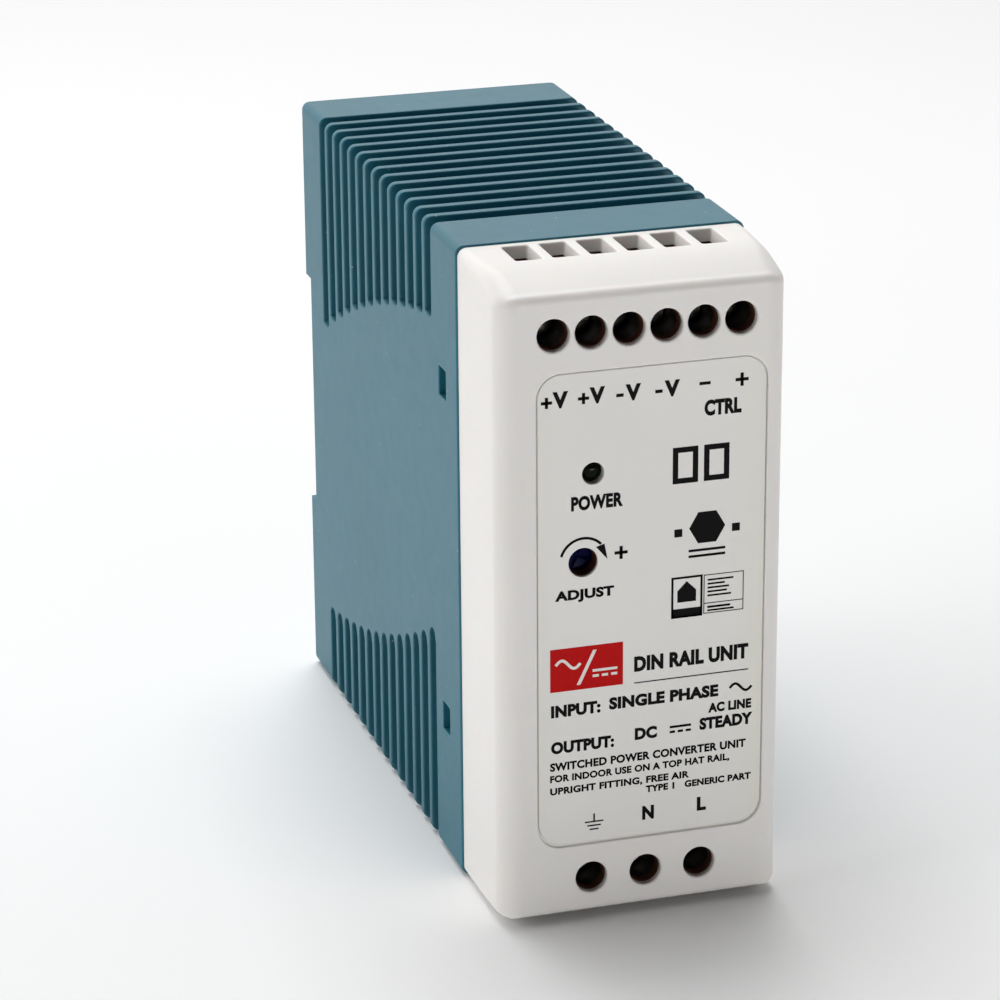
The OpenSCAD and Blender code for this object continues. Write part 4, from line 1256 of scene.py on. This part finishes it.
def dress_cad_nodes():
    """Gives every CAD node that still shows its slot's material and soft edges."""
    slots = {part["node"]: part["material_slot"] for part in frame["record"]["subparts"]}
    for name, obj in frame["nodes"].items():
        if obj.hide_render:
            continue
        obj.data.materials.clear()
        obj.data.materials.append(MATERIALS[slots[name]])
        for polygon in obj.data.polygons:
            polygon.material_index = 0
        width = BEVELS.get(name, USUAL_BEVEL)
        if width > 0:
            soften(obj, width)


# ---- Stage ----

def build_floor():
    """A pale matt floor just under the part."""
    size, level = 4.0, -0.0002
    mesh = bpy.data.meshes.new("floor")
    mesh.from_pydata(
        [(-size, -size, level), (size, -size, level), (size, size, level), (-size, size, level)], [], [(0, 1, 2, 3)]
    )
    floor = placed("floor", mesh)
    n = Nodes("floor_paper")
    cloud = n.ramp(n.noise(0.004, 3.0), 0.3, 0.7)
    n.surface(n.mix(cloud, rgba(0.93, 0.93, 0.93), rgba(0.95, 0.95, 0.95)))
    preset(n.shader, Roughness=0.9, Specular_IOR_Level=0.2)
    floor.data.materials.append(n.material)


def build_surround():
    """A white surround, bright overhead, behind and low down, dark in front and dimmer to the right."""
    world = bpy.data.worlds.new("studio")
    bpy.context.scene.world = world
    world.use_nodes = True
    nodes, links = world.node_tree.nodes, world.node_tree.links
    background = nodes["Background"]
    preset(background, Color=rgba(1.0, 1.0, 1.0))
    place = nodes.new("ShaderNodeTexCoord")
    split = nodes.new("ShaderNodeSeparateXYZ")
    links.new(place.outputs["Generated"], split.inputs[0])

    def falloff(axis, near, far, at_near, at_far):
        node = nodes.new("ShaderNodeMapRange")
        node.interpolation_type = "SMOOTHSTEP"
        preset(node, From_Min=near, From_Max=far, To_Min=at_near, To_Max=at_far)
        links.new(split.outputs[axis], node.inputs["Value"])
        return node.outputs["Result"]

    def combined(operation, first, second):
        node = nodes.new("ShaderNodeMath")
        node.operation = operation
        links.new(first, node.inputs[0])
        links.new(second, node.inputs[1])
        return node.outputs[0]

    bright, dark = 1.22, 0.03
    rear = falloff("Y", -0.3, 0.35, dark, bright)
    ground = falloff("Z", 0.02, 0.2, bright, dark)
    strength = combined("MULTIPLY", combined("MAXIMUM", rear, ground), falloff("X", 0.1, 0.9, 1.0, 0.42))
    links.new(strength, background.inputs["Strength"])


# Area lamps: place and target in metres, width and height in metres, power in watts.
LAMPS = {
    "key": ((-0.9, 0.0, 0.5), (0, 0, 0.05), 0.5, 0.5, 1.6),
    "top": ((0.0, 0.4, 0.95), (0, 0, 0.09), 0.6, 0.6, 5.0),
    "low": ((0.3, -1.05, 0.035), (0, 0, 0.03), 0.5, 0.06, 2.1),
}


def build_lamps():
    for name, (at, target, width, height, power) in LAMPS.items():
        light = bpy.data.lights.new(name, "AREA")
        light.shape = "RECTANGLE"
        light.size, light.size_y, light.energy = width, height, power
        aim = Vector(target) - Vector(at)
        turn = aim.to_track_quat("-Z", "Y").to_matrix().to_4x4()
        placed(name, light).matrix_world = Matrix.Translation(at) @ turn


def build_camera():
    """The photograph's viewing angle: azimuth, elevation and roll in degrees, distance and offsets in mm."""
    azimuth, elevation, roll = (math.radians(v) for v in (-16.75, 19.94, -0.44))
    distance, across, up_shift = 539.2, -4.3, -3.1
    focal, frame_px, sensor = 3774.2, 1000.0, 36.0
    back = Vector((math.sin(azimuth) * math.cos(elevation), -math.cos(azimuth) * math.cos(elevation),
                   math.sin(elevation)))
    right = Vector((math.cos(azimuth), math.sin(azimuth), 0))
    up = back.cross(right)
    side = right * math.cos(roll) + up * math.sin(roll)
    top = up * math.cos(roll) - right * math.sin(roll)
    place = Vector((0, 0, HEIGHT / 2)) + side * across + top * up_shift + back * distance
    camera = bpy.data.cameras.new("camera")
    camera.sensor_width = sensor
    camera.lens = sensor * focal / frame_px
    camera.clip_start = 0.01
    camera.clip_end = 50.0
    obj = placed("camera", camera)
    turn = Matrix((side, top, back)).transposed().to_4x4()
    obj.matrix_world = Matrix.Translation(place * MM) @ turn
    bpy.context.scene.camera = obj


build_camera()
build_floor()
build_surround()
build_lamps()
build_case()
build_cap()
build_collars()
build_label()
build_print()
build_screws()
build_lamp()
build_trimmer_rotor()
build_spring()
build_latch()
dress_cad_nodes()

bpy.context.scene.view_settings.view_transform = "Standard"
bpy.context.scene.view_settings.look = "None"

bpy.context.view_layer.update()
